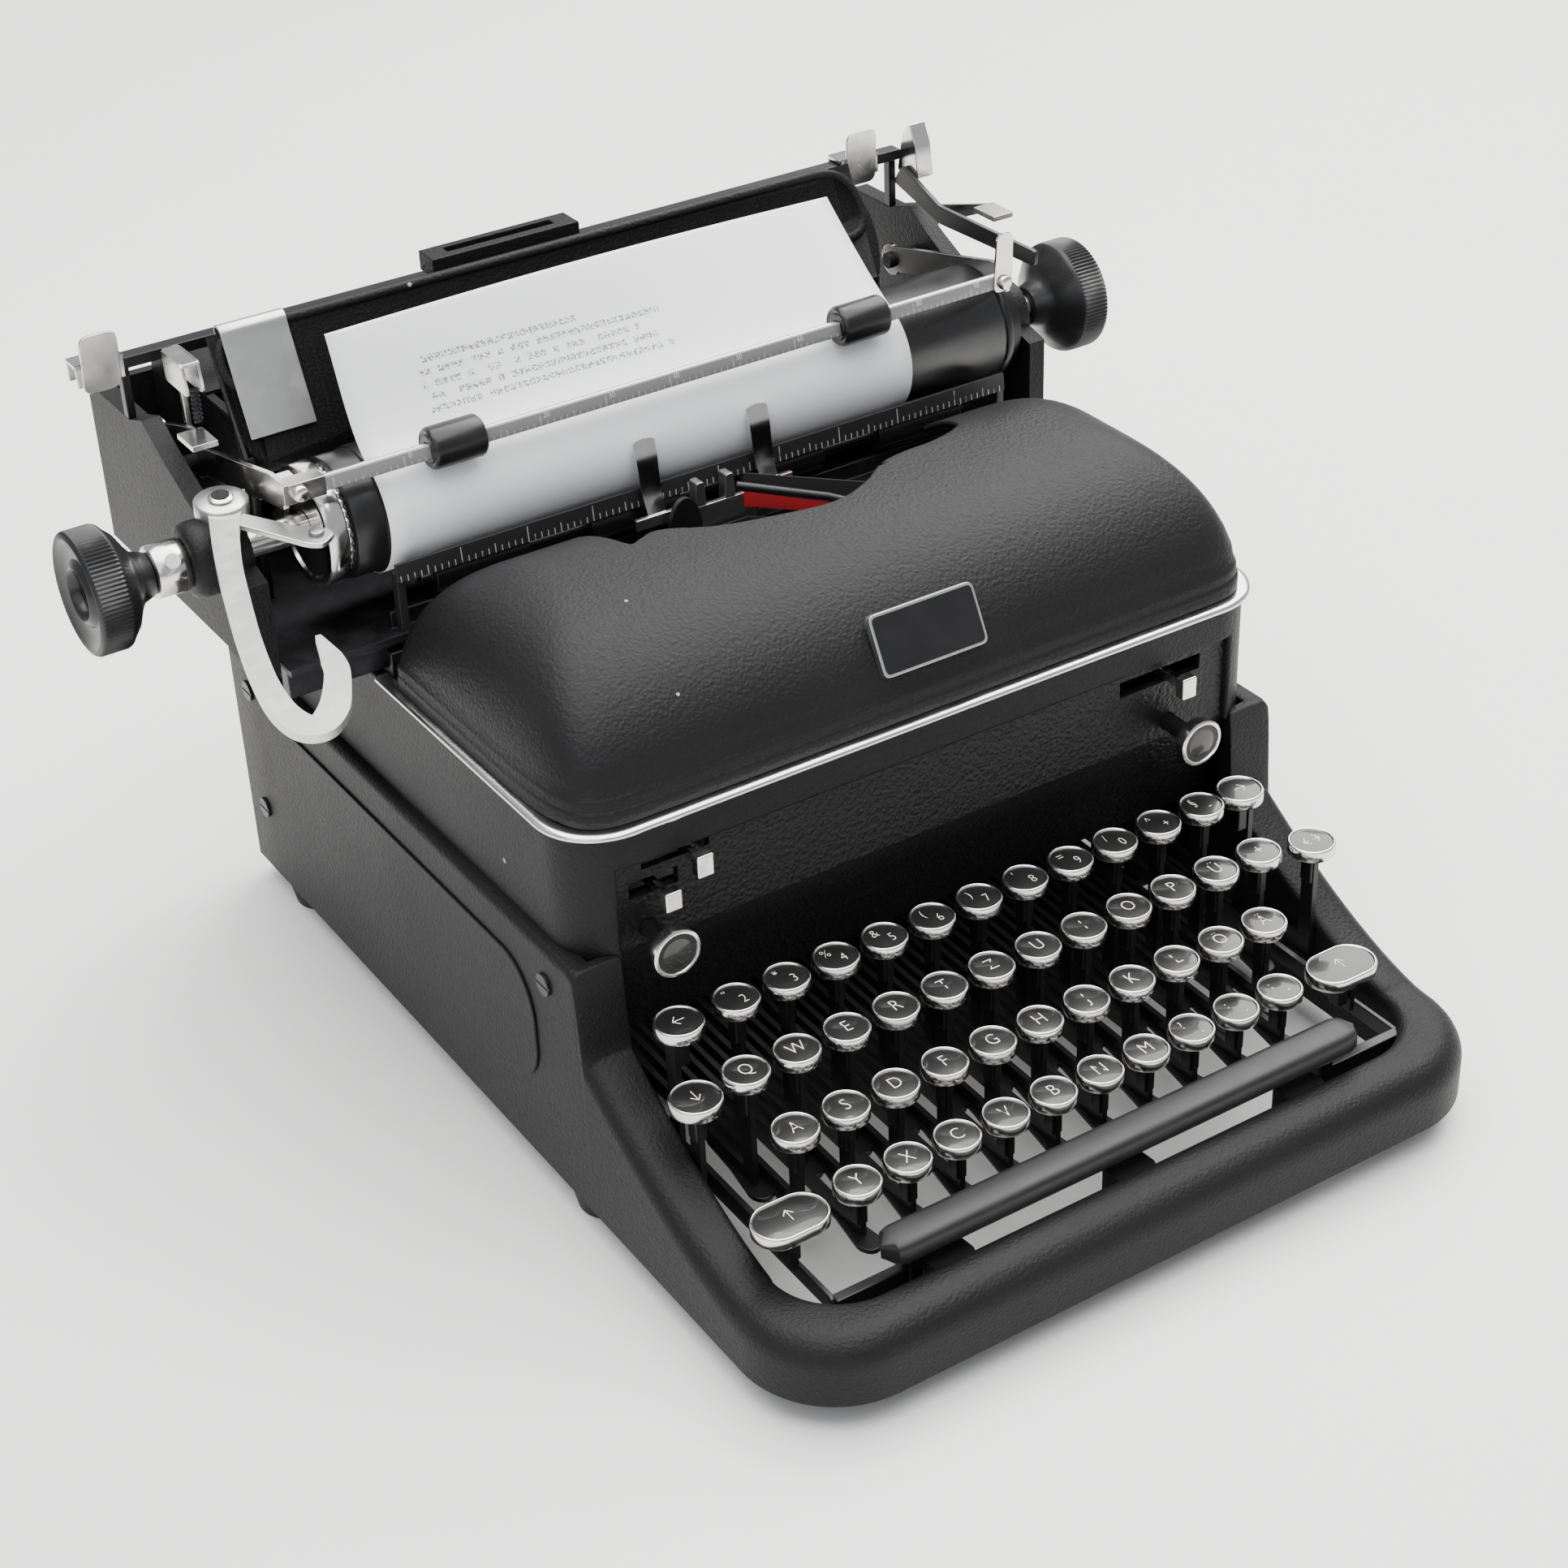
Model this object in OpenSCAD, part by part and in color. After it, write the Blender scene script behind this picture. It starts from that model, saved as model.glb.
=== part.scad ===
// A manual desk typewriter: a cast body with an open keyboard well, a hinged ribbon cover and
// a sliding carriage.
// Model frame: +X right, +Y towards the back, +Z up. The layout is drawn from the middle of the body's
// front face at table level, and place() moves it so that the origin lies under the middle of
// the whole machine.

/* [Body] */
// Width of the lower body
body_width = 285; // [270:1:310]
// Depth of the body, front bar to back wall
body_depth = 395; // [380:1:420]
// Height of the rubber feet
foot_height = 9.5; // [6:0.5:14]
// Height of the shoulder where the lower body steps in
shoulder_height = 106; // [100:1:112]
// Height of the body's top edge
deck_height = 149.5; // [146:0.5:155]
// Step between the lower and the upper body on each side
shoulder_step = 4.5; // [3:0.5:8]
// Wall of the castings
wall = 4; // [3:0.5:6]
// Corner radius of the base in plan
base_corner = 35; // [20:1:45]
// Depth of the bar in front of the keyboard
bar_depth = 20; // [16:0.5:28]
// Height of the top of the front bar
bar_height = 34; // [28:1:38]
// Width of each side arm beside the keyboard
arm_width = 18; // [16:0.5:26]

/* [Ribbon cover] */
// Height of the cover's crest
crest_height = 200; // [192:1:200.5]
// Height of the cover's rear edge
cover_rear_height = 187; // [180:1:190]
// Y of the cover's rear edge
cover_rear_y = 244; // [236:1:250]
// Thickness of the cover
cover_wall = 2.4; // [1.5:0.1:4]
// Width of the opening around the type guide
cutout_width = 146; // [120:1:160]
// Depth of the opening around the type guide
cutout_depth = 50.5; // [38:0.5:56]

/* [Keyboard] */
// Spacing of the keys along a row
key_pitch = 19.05; // [18:0.05:19.5]
// Step back from one row to the next
row_back = 20; // [19:0.1:21]
// Step up from one row to the next
row_up = 12.1; // [10:0.1:14]
// Diameter of a key top
key_diameter = 15; // [12:0.1:16.5]
// Y of the front row
front_row_y = 47; // [45:0.5:50]
// Height of the front row's key tops
front_row_z = 53.2; // [50:0.2:60]
// Thickness of a key lever
lever_thickness = 2; // [1.5:0.1:2.6]
// Y of the rod that the key levers turn on
fulcrum_y = 300; // [280:1:320]
// Height of the rod that the key levers turn on
fulcrum_z = 42; // [36:1:50]

/* [Carriage] */
// Radius of the platen
platen_radius = 22; // [18:0.5:23]
// Length of the platen
platen_length = 252; // [240:1:256]
// Y of the platen's axis
platen_y = 283; // [280:0.5:288]
// Height of the platen's axis
platen_z = 200.5; // [198:0.5:206]
// Radius of the platen's shaft
shaft_radius = 5; // [3:0.5:6]
// Radial running clearance of shafts and pins
running_gap = 0.05; // [0.02:0.01:0.1]
// Radius of the knobs
knob_radius = 21; // [16:0.5:24]
// Width of a knob
knob_width = 25; // [18:0.5:28]
// X of the left knob's outer face
knob_left_x = -228; // [-236:1:-220]
// X of the right knob's outer face
knob_right_x = 175; // [170:1:190]
// Width of the sheet of paper
paper_width = 210; // [150:1:216]

/* [Hidden] */
$fn = 48;

origin_x = (knob_left_x + knob_right_x) / 2;
origin_y = body_depth / 2;
half_w = body_width / 2;
upper_half_w = half_w - shoulder_step;
well_half_w = half_w - arm_width;
gap = 0.3;                                   // clearance between pieces that move past each other
eps = 0.01;

// Upper body
post_y = 127.3;                              // front face of the upper body
panel_y = post_y + 3.3;                      // front face of the recessed front panel
panel_wall = 3;
band_z = deck_height - 12.5;                 // lower edge of the band over the panel
panel_low_z = 105;                           // below this the panel leans back
upper_corner = 20;
inner_half_w = upper_half_w - wall;
arm_start_y = 35;
arm_end_z = 75;
strip_top_z = deck_height + 3;
strip_end_y = 257;
strip_out = 3;

// Keyboard rows, front to back: Y and height of the key tops, X of the first key and number of keys
ROW_LOWER = [front_row_y, front_row_z, -90.5, 10];
ROW_HOME = [front_row_y + row_back, front_row_z + row_up, -100.0, 11];
ROW_UPPER = [front_row_y + 2 * row_back, front_row_z + 2 * row_up, -104.8, 12];
ROW_NUMBER = [front_row_y + 3 * row_back, front_row_z + 3 * row_up, -95.25, 11];
cap_height = 3.6;
stem_half = 3;                               // half the depth of a key's stem
stem_tip = 2;                                // how far a stem enters its key top
stem_fit = 0.03;                             // clearance round the tip
lever_height = 4.5;
lever_z = 33;                                // lower edge of the key levers
lever_pitch = 3.5;                           // spacing of the function keys' levers
fulcrum_radius = 3;
fulcrum_boss = 6;

// Carriage
rail_height = 9.5;
rail_depth = 12;
front_rail_y = 256.5;
rear_rail_y = 366;
tongue_width = 5.4;
rail_groove = tongue_width + 2 * gap;
rail_half = inner_half_w - eps;
beam_z = deck_height + rail_height + 3;
beam_thickness = 3;
beam_left = -170;
beam_right = 128;
casting_wall = 7;
casting_left_x = -178;
casting_right_x = 137;
paper_gap = 0.35;
paper_thickness = 0.3;
paper_left_x = -127;
feed_radius = 6;
feed_angle = 40;
bail_y = 264.6;
bail_z = 224.3;
bail_pivot_y = 336;
bail_pivot_z = 208;
bail_pin_radius = 3;
lever_pin_radius = 2;
bail_arm_left_x = -162;
bail_arm_right_x = 126;
bail_bar_left_x = -147;
bail_roller_radius = 7.3;
bail_bar_radius = 2.4;
table_low = [304.5, 212];
table_top = [325, 256];
table_wall = 2;
type_x = -8;                                 // X of the printing point
fan_y = 246;
fan_z = 122;
return_pivot = [-174.5, 285];
return_z = 214;                              // underside of the return lever at its pivot
return_tilt = 5.5;                           // the lever slopes down towards the typist
return_pin_radius = 3;

module place() translate([-origin_x, -origin_y, 0]) children();
// A box between two corners
module block(low, high) translate(low) cube(high - low);
// A round bar along X, centred on a point
module rod_x(centre, r, len, fn = 48)
    translate(centre) rotate([0, 90, 0]) cylinder(h = len, r = r, center = true, $fn = fn);
// A round bar along Y that starts at a point
module rod_y(start, r, len, fn = 48) translate(start) rotate([-90, 0, 0]) cylinder(h = len, r = r, $fn = fn);
// An outline in Y and Z, carried along X from x0 to x1
module slab_x(x0, x1) translate([x0, 0, 0]) rotate([90, 0, 90]) linear_extrude(x1 - x0) children();
// A plan outline with round front corners
module plan(half, front, back, r) {
    union() {
        translate([-half, front + r]) square([2 * half, back - front - r]);
        translate([-half + r, front]) square([2 * (half - r), r + eps]);
        for (s = [-1, 1]) translate([s * (half - r), front + r]) circle(r);
    }
}
// A straight strip of even thickness through a list of points in Y and Z
function normal_at(p, i) =
    let(a = p[max(i - 1, 0)], b = p[min(i + 1, len(p) - 1)], d = b - a) [-d[1], d[0]] / norm(d);
module strip(points, thickness) polygon(concat(points,
    [for (i = [len(points) - 1:-1:0]) points[i] + thickness * normal_at(points, i)]));

// ---- Fixed body ----
function arm_top(y) = bar_height
    + (arm_end_z - bar_height) * pow(max(y - arm_start_y, 0) / (post_y - arm_start_y), 1.57);
module body_profile() polygon(concat(
    [[0, foot_height], [0, bar_height - 10]],
    [for (a = [15:15:90]) [10 - 10 * cos(a), bar_height - 10 + 10 * sin(a)]],
    [for (i = [0:12]) let(y = arm_start_y + i * (post_y - arm_start_y) / 12) [y, arm_top(y)]],
    [[post_y, shoulder_height], [body_depth, shoulder_height], [body_depth, foot_height]]));

module body_shell() color([0.13, 0.13, 0.14]) place() difference() {
    union() {
        intersection() {
            slab_x(-half_w, half_w) body_profile();
            linear_extrude(shoulder_height + 1) plan(half_w, 0, body_depth, base_corner);
        }
        translate([0, 0, shoulder_height]) linear_extrude(deck_height - shoulder_height)
            plan(upper_half_w, post_y, body_depth, upper_corner);
    }
    block([-inner_half_w, panel_y + panel_wall, -1], [inner_half_w, body_depth - wall, deck_height + 1]);
    block([-half_w + wall, panel_y + 30, -1], [half_w - wall, body_depth - wall, shoulder_height - wall]);
    block([-well_half_w, panel_y, -1], [well_half_w, panel_y + 31, deck_height - 0.5]);
    block([-well_half_w, bar_depth, -1], [well_half_w, panel_y + 1, band_z]);
}

module front_panel() color([0.12, 0.12, 0.13]) place() difference() {
    slab_x(-well_half_w + gap, well_half_w - gap) polygon([[panel_y, panel_low_z], [panel_y, deck_height - 0.8],
        [panel_y + panel_wall, deck_height - 0.8], [panel_y + panel_wall, panel_low_z],
        [panel_y + panel_wall + 1, panel_low_z - 4], [panel_y + 14, 66], [panel_y + 11, 66],
        [panel_y + 1, panel_low_z - 4]]);
    block([77, panel_y - 1, 127.5], [112, panel_y + 5, 133.5]);
    block([90, panel_y - 1, 135.5], [117, panel_y + 5, 139.5]);
    block([-113, panel_y - 1, 132.5], [-88, panel_y + 5, 139]);
    block([-118, panel_y - 1, 123], [-100, panel_y + 5, 129]);
    for (x = [-112, 99]) rod_y([x, panel_y - 1, 110.5], 3.4, 5);
}

module side_plate(side) color([0.13, 0.13, 0.14]) place()
    slab_x(side > 0 ? half_w : -half_w - 1, side > 0 ? half_w + 1 : -half_w) union() {
        translate([175, 41]) square([184, 50]);
        translate([155, 61]) square([20 + eps, 10]);
        for (z = [61, 71]) translate([175, z]) circle(20);
    }
module side_plate_left() side_plate(-1);
module side_plate_right() side_plate(1);

module trim_strip() color([0.85, 0.85, 0.86]) place() difference() {
    translate([0, 0, deck_height]) linear_extrude(strip_top_z - deck_height)
        plan(upper_half_w + strip_out, post_y - strip_out, strip_end_y, upper_corner + strip_out);
    translate([0, 0, deck_height - 1]) linear_extrude(6)
        plan(upper_half_w - 2, post_y + 2, strip_end_y + 1, upper_corner - 2);
}

module feet() color([0.08, 0.08, 0.08]) place()
    for (x = [-1, 1], y = [140, 362]) difference() {
        translate([x * (half_w - 14), y, 0]) cylinder(h = foot_height, r1 = 11, r2 = 13);
        translate([x * (half_w - 14), y, -1]) cylinder(h = 4, r = 3.2);
    }

module body_screws() color([0.3, 0.3, 0.31]) place()
    for (s = [-1, 1], p = [[146, 92], [374, 92], [374, 40]]) difference() {
        rod_x([s * (half_w + 0.6), p[0], p[1]], 4, 1.2);
        translate([s * (half_w + 1.3), p[0], p[1]]) cube([0.8, 10, 1], center = true);
    }

// Steel frame inside the body: two side plates, cross bars, and the bracket of the drum and escapement
drum_x = -80;
drum_y = 352;
drum_z = 118;
drum_radius = 27;
wheel_x = 10;
wheel_radius = 18;
axle_radius = 3;
bracket_y = 378;
spool_x = 84;
spool_y = 186;
spool_z = 158;
guide_y = fan_y + 3;                         // front face of the plate that guides the type basket
module chassis() color([0.35, 0.35, 0.36]) place() {
    for (s = [-1, 1]) translate([s * (inner_half_w - 1.5), 0, 0]) slab_x(-1.5, 1.5)
        polygon([[160, 16], [386, 16], [386, deck_height], [240, deck_height], [225, 112], [160, 112]]);
    block([-inner_half_w + 3, 162, 16], [inner_half_w - 3, 172, 20]);
    block([-inner_half_w + 3, 376, 16], [inner_half_w - 3, 386, 20]);
    block([-inner_half_w + 3, bracket_y, 90], [inner_half_w - 3, bracket_y + 3, 146]);
    block([-inner_half_w + 3, 160, 100], [inner_half_w - 3, 163, 104]);
    rod_y([drum_x, drum_y - 4, drum_z], axle_radius, bracket_y - drum_y + 4);
    rod_y([wheel_x, drum_y - 4, drum_z], axle_radius, bracket_y - drum_y + 4);
    for (s = [-1, 1]) {
        block([s * spool_x - 10, 162, 100], [s * spool_x + 10, spool_y + 8, 104]);
        translate([s * spool_x, spool_y, 103]) cylinder(h = spool_z + 14 - 103, r = axle_radius);
    }
    block([-inner_half_w + 3, guide_y, 100], [inner_half_w - 3, guide_y + 3, 104]);
    block([type_x - 14, guide_y, 100], [type_x + 14, guide_y + 3, deck_height - 1]);
}

module rail(y) difference() {
    block([-rail_half, y, deck_height], [rail_half, y + rail_depth, deck_height + rail_height]);
    block([-rail_half - 1, y + (rail_depth - rail_groove) / 2, deck_height + 2.4],
        [rail_half + 1, y + (rail_depth + rail_groove) / 2, deck_height + rail_height + 1]);
}
module carriage_rails() color([0.25, 0.25, 0.26]) place() {
    rail(front_rail_y);
    rail(rear_rail_y);
}

module key_fulcrum_rod() color([0.6, 0.6, 0.6]) place()
    rod_x([0, fulcrum_y, fulcrum_z], fulcrum_radius, 2 * (inner_half_w - 3));

module type_guide() color([0.7, 0.7, 0.71]) place() {
    block([type_x - 16, 250.5, deck_height + 1], [type_x + 16, 252.5, 180]);
    block([type_x - 16, 252, deck_height + 1], [type_x + 16, front_rail_y, deck_height + 7]);
    for (s = [-1, 1]) {
        block([type_x + s * 6 - 2, 250.5, 179], [type_x + s * 6 + 2, 256, 189]);
        block([type_x + s * 15 - 1.5, 250.5, 168], [type_x + s * 15 + 1.5, 252.5, 182]);
        block([type_x + s * 23 - 9, 250.5, 178], [type_x + s * 23 + 9, 252.5, 182]);
        slab_x(type_x + s * 23 - 4, type_x + s * 23 + 4) strip(
            [[252.5, 181], [255, 186], [256.5, 192], [257.2, 199], [259.5, 207]], -1.6);
    }
}

module ribbon() color([0.1, 0.02, 0.02]) place() {
    for (s = [-1, 1]) let(a = [s * (spool_x - 16), spool_y + 12], b = [type_x + s * 12, 248.2], d = b - a)
        translate([a[0], a[1], spool_z + 1.5]) rotate([0, 0, atan2(d[1], d[0])]) cube([norm(d), 0.5, 12]);
    block([type_x - 12, 248.2, spool_z + 1.5], [type_x + 12, 248.8, spool_z + 13.5]);
}

// ---- Ribbon cover ----
cover_low = strip_top_z + gap;
cover_y0 = post_y + 1;
cover_crest_y = 206;
function cover_top(y) = let(t = (y - cover_y0) / (cover_crest_y - cover_y0))
    y < cover_crest_y ? cover_low + (crest_height - cover_low) * sqrt(1 - pow(1 - t, 2.6))
    : crest_height
        - (crest_height - cover_rear_height) * pow((y - cover_crest_y) / (cover_rear_y - cover_crest_y), 2);
module cover_side(inset) polygon(concat([[cover_y0 + inset, cover_low - 1 * (inset > 0 ? 1 : 0)]],
    [for (i = [1:18]) let(y = cover_y0 + inset + (cover_rear_y - cover_y0 - inset) * pow(i / 18, 1.5))
        [y, cover_top(y - inset) - inset]],
    [[cover_rear_y + (inset > 0 ? 1 : 0), cover_top(cover_rear_y) - inset],
        [cover_rear_y + (inset > 0 ? 1 : 0), cover_low - (inset > 0 ? 1 : 0)]]));
module cover_front(inset)
    let(w = upper_half_w - inset, h = crest_height - cover_low - inset, z0 = cover_low - (inset > 0 ? 1 : 0))
    polygon(concat([[-w, z0]], [for (i = [0:24]) let(a = 180 - 7.5 * i, c = cos(a), s = sin(a))
        [w * sign(c) * pow(abs(c), 0.42), cover_low + (h + 0.01) * pow(abs(s), 0.62)]], [[w, z0]]));
module cover_solid(inset) intersection() {
    slab_x(-half_w, half_w) cover_side(inset);
    translate([0, body_depth, 0]) rotate([90, 0, 0]) linear_extrude(body_depth) cover_front(inset);
    translate([0, 0, cover_low - 2]) linear_extrude(60)
        plan(upper_half_w - inset, cover_y0 + inset, cover_rear_y + 2, upper_corner);
}
// The edge of the opening, as shares of its half width and of its depth
cutout_edge = [[-1, 0], [-0.97, 0.6], [-0.9, 0.69], [-0.73, 0.65], [-0.52, 0.84], [-0.25, 0.96], [0.03, 1],
    [0.25, 0.9], [0.42, 0.74], [0.6, 0.68], [0.8, 0.66], [0.93, 0.58], [1, 0]];
module ribbon_cover() color([0.12, 0.12, 0.13]) place() difference() {
    cover_solid(0);
    cover_solid(cover_wall);
    translate([type_x + 10, 0, cover_low + 12]) linear_extrude(60) polygon([for (p = cutout_edge)
        [p[0] * cutout_width / 2, cover_rear_y + 1 - p[1] * (cutout_depth + 1)]]);
    block([-half_w, cover_rear_y - 0.8, cover_low - 2], [half_w, cover_rear_y + 2, cover_low + 2]);
}
badge_y = 137;
module name_badge() color([0.2, 0.2, 0.21]) place() translate([0, badge_y, cover_top(badge_y)])
    rotate([54, 0, 0]) translate([-20, -9, 0.2]) cube([40, 18, 1.2]);

// ---- Type basket, which drops for the capitals ----
module type_segment() color([0.5, 0.5, 0.51]) place() translate([type_x, fan_y, fan_z]) {
    difference() {
        translate([0, 0, -4]) cylinder(h = 12, r = 40);
        translate([0, 0, -5]) cylinder(h = 14, r = 24);
        translate([-50, 0, -5]) cube([100, 50, 14]);
        for (i = [0:43]) rotate([0, 0, -90 + (i - 21.5) * 3.6]) translate([26, -0.7, 0]) cube([20, 1.4, 20]);
    }
    block([-38, -2, -14], [38, guide_y - fan_y - gap, -4]);
}
module typebars() color([0.6, 0.6, 0.6]) place() translate([type_x, fan_y, fan_z])
    for (i = [0:43]) rotate([0, 0, -90 + (i - 21.5) * 3.6]) {
        translate([29, -0.55, 0.3]) cube([56, 1.1, 6]);
        translate([85 - eps, -1.4, -2]) cube([4.5, 2.8, 9]);
    }

module spool(side) color([0.45, 0.45, 0.46]) place()
    translate([side * spool_x, spool_y, spool_z]) difference() {
    union() {
        cylinder(h = 1, r = 25);
        cylinder(h = 14, r = 16);
        translate([0, 0, 13.5]) cylinder(h = 1, r = 25);
    }
    translate([0, 0, -1]) cylinder(h = 18, r = axle_radius + running_gap);
}
module ribbon_spool_left() spool(-1);
module ribbon_spool_right() spool(1);

module mainspring_drum() color([0.55, 0.5, 0.35]) place() difference() {
    rod_y([drum_x, drum_y, drum_z], drum_radius, 16);
    rod_y([drum_x, drum_y - 1, drum_z], axle_radius + running_gap, 18);
}
module escapement_wheel() color([0.7, 0.6, 0.35]) place() difference() {
    union() {
        rod_y([wheel_x, drum_y, drum_z], wheel_radius - 2.5, 3);
        for (i = [0:23]) translate([wheel_x, drum_y, drum_z]) rotate([0, i * 15, 0])
            translate([wheel_radius - 4, 0, -0.8]) cube([4, 3, 1.6]);
        rod_y([wheel_x, drum_y + 3, drum_z], 7, 8);
    }
    rod_y([wheel_x, drum_y - 1, drum_z], axle_radius + running_gap, 14);
}

// ---- Carriage ----
module carriage_beam() color([0.2, 0.2, 0.21]) place() {
    for (y = [front_rail_y, rear_rail_y])
        block([beam_left, y + (rail_depth - tongue_width) / 2, deck_height + 3],
            [beam_right, y + (rail_depth + tongue_width) / 2, beam_z]);
    block([beam_left, front_rail_y, beam_z], [beam_right, rear_rail_y + rail_depth, beam_z + beam_thickness]);
    block([-130, 262, beam_z + beam_thickness], [120, 264, 171]);
}

module end_casting(x, back) color([0.14, 0.14, 0.15]) place() difference() {
    slab_x(x, x + casting_wall) union() {
        polygon([[262, beam_z], [back, beam_z], [back, 222], [352, 222], [340, 226], [326, 218], [305, 208],
            [262, 196]]);
        translate([platen_y, platen_z]) circle(12);
    }
    rod_x([x, platen_y, platen_z], shaft_radius + running_gap, 40);
}
// A pin along X between two places
module pin_x(x0, x1, y, z, r) rod_x([(x0 + x1) / 2, y, z], r, x1 - x0);
module end_casting_left() union() {
    end_casting(casting_left_x, 390);
    color([0.14, 0.14, 0.15]) place() {
        pin_x(casting_left_x + 1, bail_arm_left_x + 4, bail_pivot_y, bail_pivot_z, bail_pin_radius);
        pin_x(casting_left_x + 1, release_left_x + 3, release_y, release_z, lever_pin_radius);
        pin_x(casting_left_x + 1, spacer_x + 3, spacer_y, spacer_z, lever_pin_radius);
        translate([return_pivot[0], return_pivot[1], return_z]) rotate([return_tilt, 0, 0])
            translate([0, 0, -6]) cylinder(h = 12, r = return_pin_radius);
        block([casting_left_x + casting_wall, 386, beam_z + beam_thickness], [-150, 390, 222]);
        block([casting_left_x + casting_wall, 300, beam_z], [beam_left, 390, beam_z + beam_thickness]);
    }
}
module end_casting_right() union() {
    end_casting(casting_right_x, 378);
    color([0.14, 0.14, 0.15]) place() {
        block([beam_right, 262, beam_z], [casting_right_x, 378, beam_z + beam_thickness]);
        pin_x(bail_arm_right_x - 2, casting_right_x + 1, bail_pivot_y, bail_pivot_z, bail_pin_radius);
        pin_x(casting_right_x + 1, release_right_x + 3, release_y, release_z, lever_pin_radius);
    }
}

// The table leans back behind the platen
table_dir = (table_top - table_low) / norm(table_top - table_low);
table_tilt = atan2(table_dir[1], table_dir[0]);
table_left_x = -156;
table_right_x = 100;
module table_frame() translate([0, table_low[0], table_low[1]]) rotate([table_tilt, 0, 0]) children();
table_len = norm(table_top - table_low);
module paper_table() color([0.12, 0.12, 0.13]) place() {
    table_frame() block([table_left_x, 0, -table_wall], [table_right_x, table_len, 0]);
    for (x = [table_left_x, table_right_x - 3])
        block([x, table_low[0] + 1.2, beam_z + beam_thickness], [x + 3, table_low[0] + 12, table_low[1] + 6]);
    block([table_left_x, 335, 230], [table_right_x, 384, 232]);
    block([table_left_x, 382, beam_z + beam_thickness], [table_right_x, 384, 231]);
    for (x = [table_left_x, table_right_x - 3]) {
        block([x, 314, beam_z + beam_thickness], [x + 3, 383, 231]);
        slab_x(x, x + 3) polygon([[306, 205], [340, 205], [340, 231], [table_low[0] + 9.3, 229]]);
    }
}

module paper_scale() color([0.2, 0.2, 0.21]) place() {
    slab_x(-128, 122) polygon([[257.2, 183.5], [258, 190], [259.2, 190], [258.4, 183.5]]);
    for (x = [-128, 119]) block([x, 258, 165], [x + 3, 262, 186]);
}

// The sheet wraps round the platen and leans back over it
wrap_r = platen_radius + paper_gap;
wrap_start = -20;
wrap_end = 118;
sheet_top = [303, 254.5];
function bez(a, b, c, d, t) =
    pow(1 - t, 3) * a + 3 * t * pow(1 - t, 2) * b + 3 * t * t * (1 - t) * c + pow(t, 3) * d;
function sheet_path() = let(p = on_platen(wrap_end), dir = [sin(wrap_end), -cos(wrap_end)]) concat(
    [for (a = [360 + wrap_start:-10:wrap_end + 10]) [platen_y + wrap_r * cos(a), platen_z + wrap_r * sin(a)]],
    [for (t = [0:0.1:1]) bez([platen_y + wrap_r * cos(wrap_end), platen_z + wrap_r * sin(wrap_end)],
        [platen_y + wrap_r * cos(wrap_end), platen_z + wrap_r * sin(wrap_end)] + 14 * dir,
        sheet_top - [10, 12], sheet_top, t)]);
module paper_sheet() color([0.95, 0.95, 0.96]) place() slab_x(paper_left_x, paper_left_x + paper_width)
    strip(sheet_path(), paper_thickness);

module paper_guide() color([0.8, 0.8, 0.8]) place() table_frame() {
    block([-152, 14, gap], [-129, table_len + 2, gap + 1]);
    block([-152, table_len + gap, -table_wall - gap - 1], [-129, table_len + gap + 1.2, gap + 1]);
    block([-152, table_len - 8, -table_wall - gap - 1], [-129, table_len + gap + 1, -table_wall - gap]);
}
support_y = 328.5;
module paper_support() color([0.12, 0.12, 0.13]) place() difference() {
    union() {
        block([-70, support_y, 236], [-12, support_y + 3, 260]);
        block([-70, support_y, 253], [-12, support_y + 11, 260]);
    }
    block([-62, support_y + 4, 252], [-20, support_y + 8, 261]);
}
rack_y = 350;
rack_z = 241;
rack_depth = 6;
rack_height = 4;
module margin_rack() color([0.5, 0.5, 0.5]) place() {
    block([-189, rack_y, rack_z], [casting_right_x + 4, rack_y + rack_depth, rack_z + rack_height]);
    for (x = [casting_left_x, casting_right_x])
        block([x, rack_y + 2, 222], [x + 3, rack_y + rack_depth, rack_z + eps]);
}
module margin_stop(x) color([0.85, 0.85, 0.85]) place() difference() {
    union() {
        block([x - 6, rack_y - 3, rack_z - 3], [x + 6, rack_y + rack_depth + 3, rack_z + rack_height + 3]);
        block([x - 8, rack_y - 3, rack_z + rack_height + 2], [x + 8, rack_y - 1.5, rack_z + rack_height + 17]);
    }
    block([x - 9, rack_y - gap, rack_z - gap], [x + 9, rack_y + rack_depth + gap, rack_z + rack_height + gap]);
}
module margin_stop_left() margin_stop(-186);
module margin_stop_right() margin_stop(121);

// A small lever on a pin along X; the plate stands beside the casting
module side_lever(x, y, z, reach, rise) {
    difference() {
        union() {
            rod_x([x, y, z], 5, 2);
            slab_x(x - 1, x + 1)
                polygon([[y - 3, z - 3], [y - reach, z + rise - 3], [y - reach, z + rise], [y + 3, z + 3]]);
            block([x - 8, y - reach - 12, z + rise - 2], [x + 1, y - reach + 1, z + rise]);
        }
        rod_x([x, y, z], lever_pin_radius + running_gap, 10);
    }
}
release_left_x = -167;
release_right_x = 158;
release_y = 352;
release_z = 214;
spacer_x = -150;
spacer_y = 298;
spacer_z = 196;
module carriage_release_left() color([0.8, 0.8, 0.8]) place()
    side_lever(release_left_x, release_y, release_z, 38, 16);
module carriage_release_right() color([0.8, 0.8, 0.8]) place()
    side_lever(release_right_x, release_y, release_z, 38, 16);
module line_space_lever() color([0.8, 0.8, 0.8]) place() side_lever(spacer_x, spacer_y, spacer_z, 12, 24);

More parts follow.
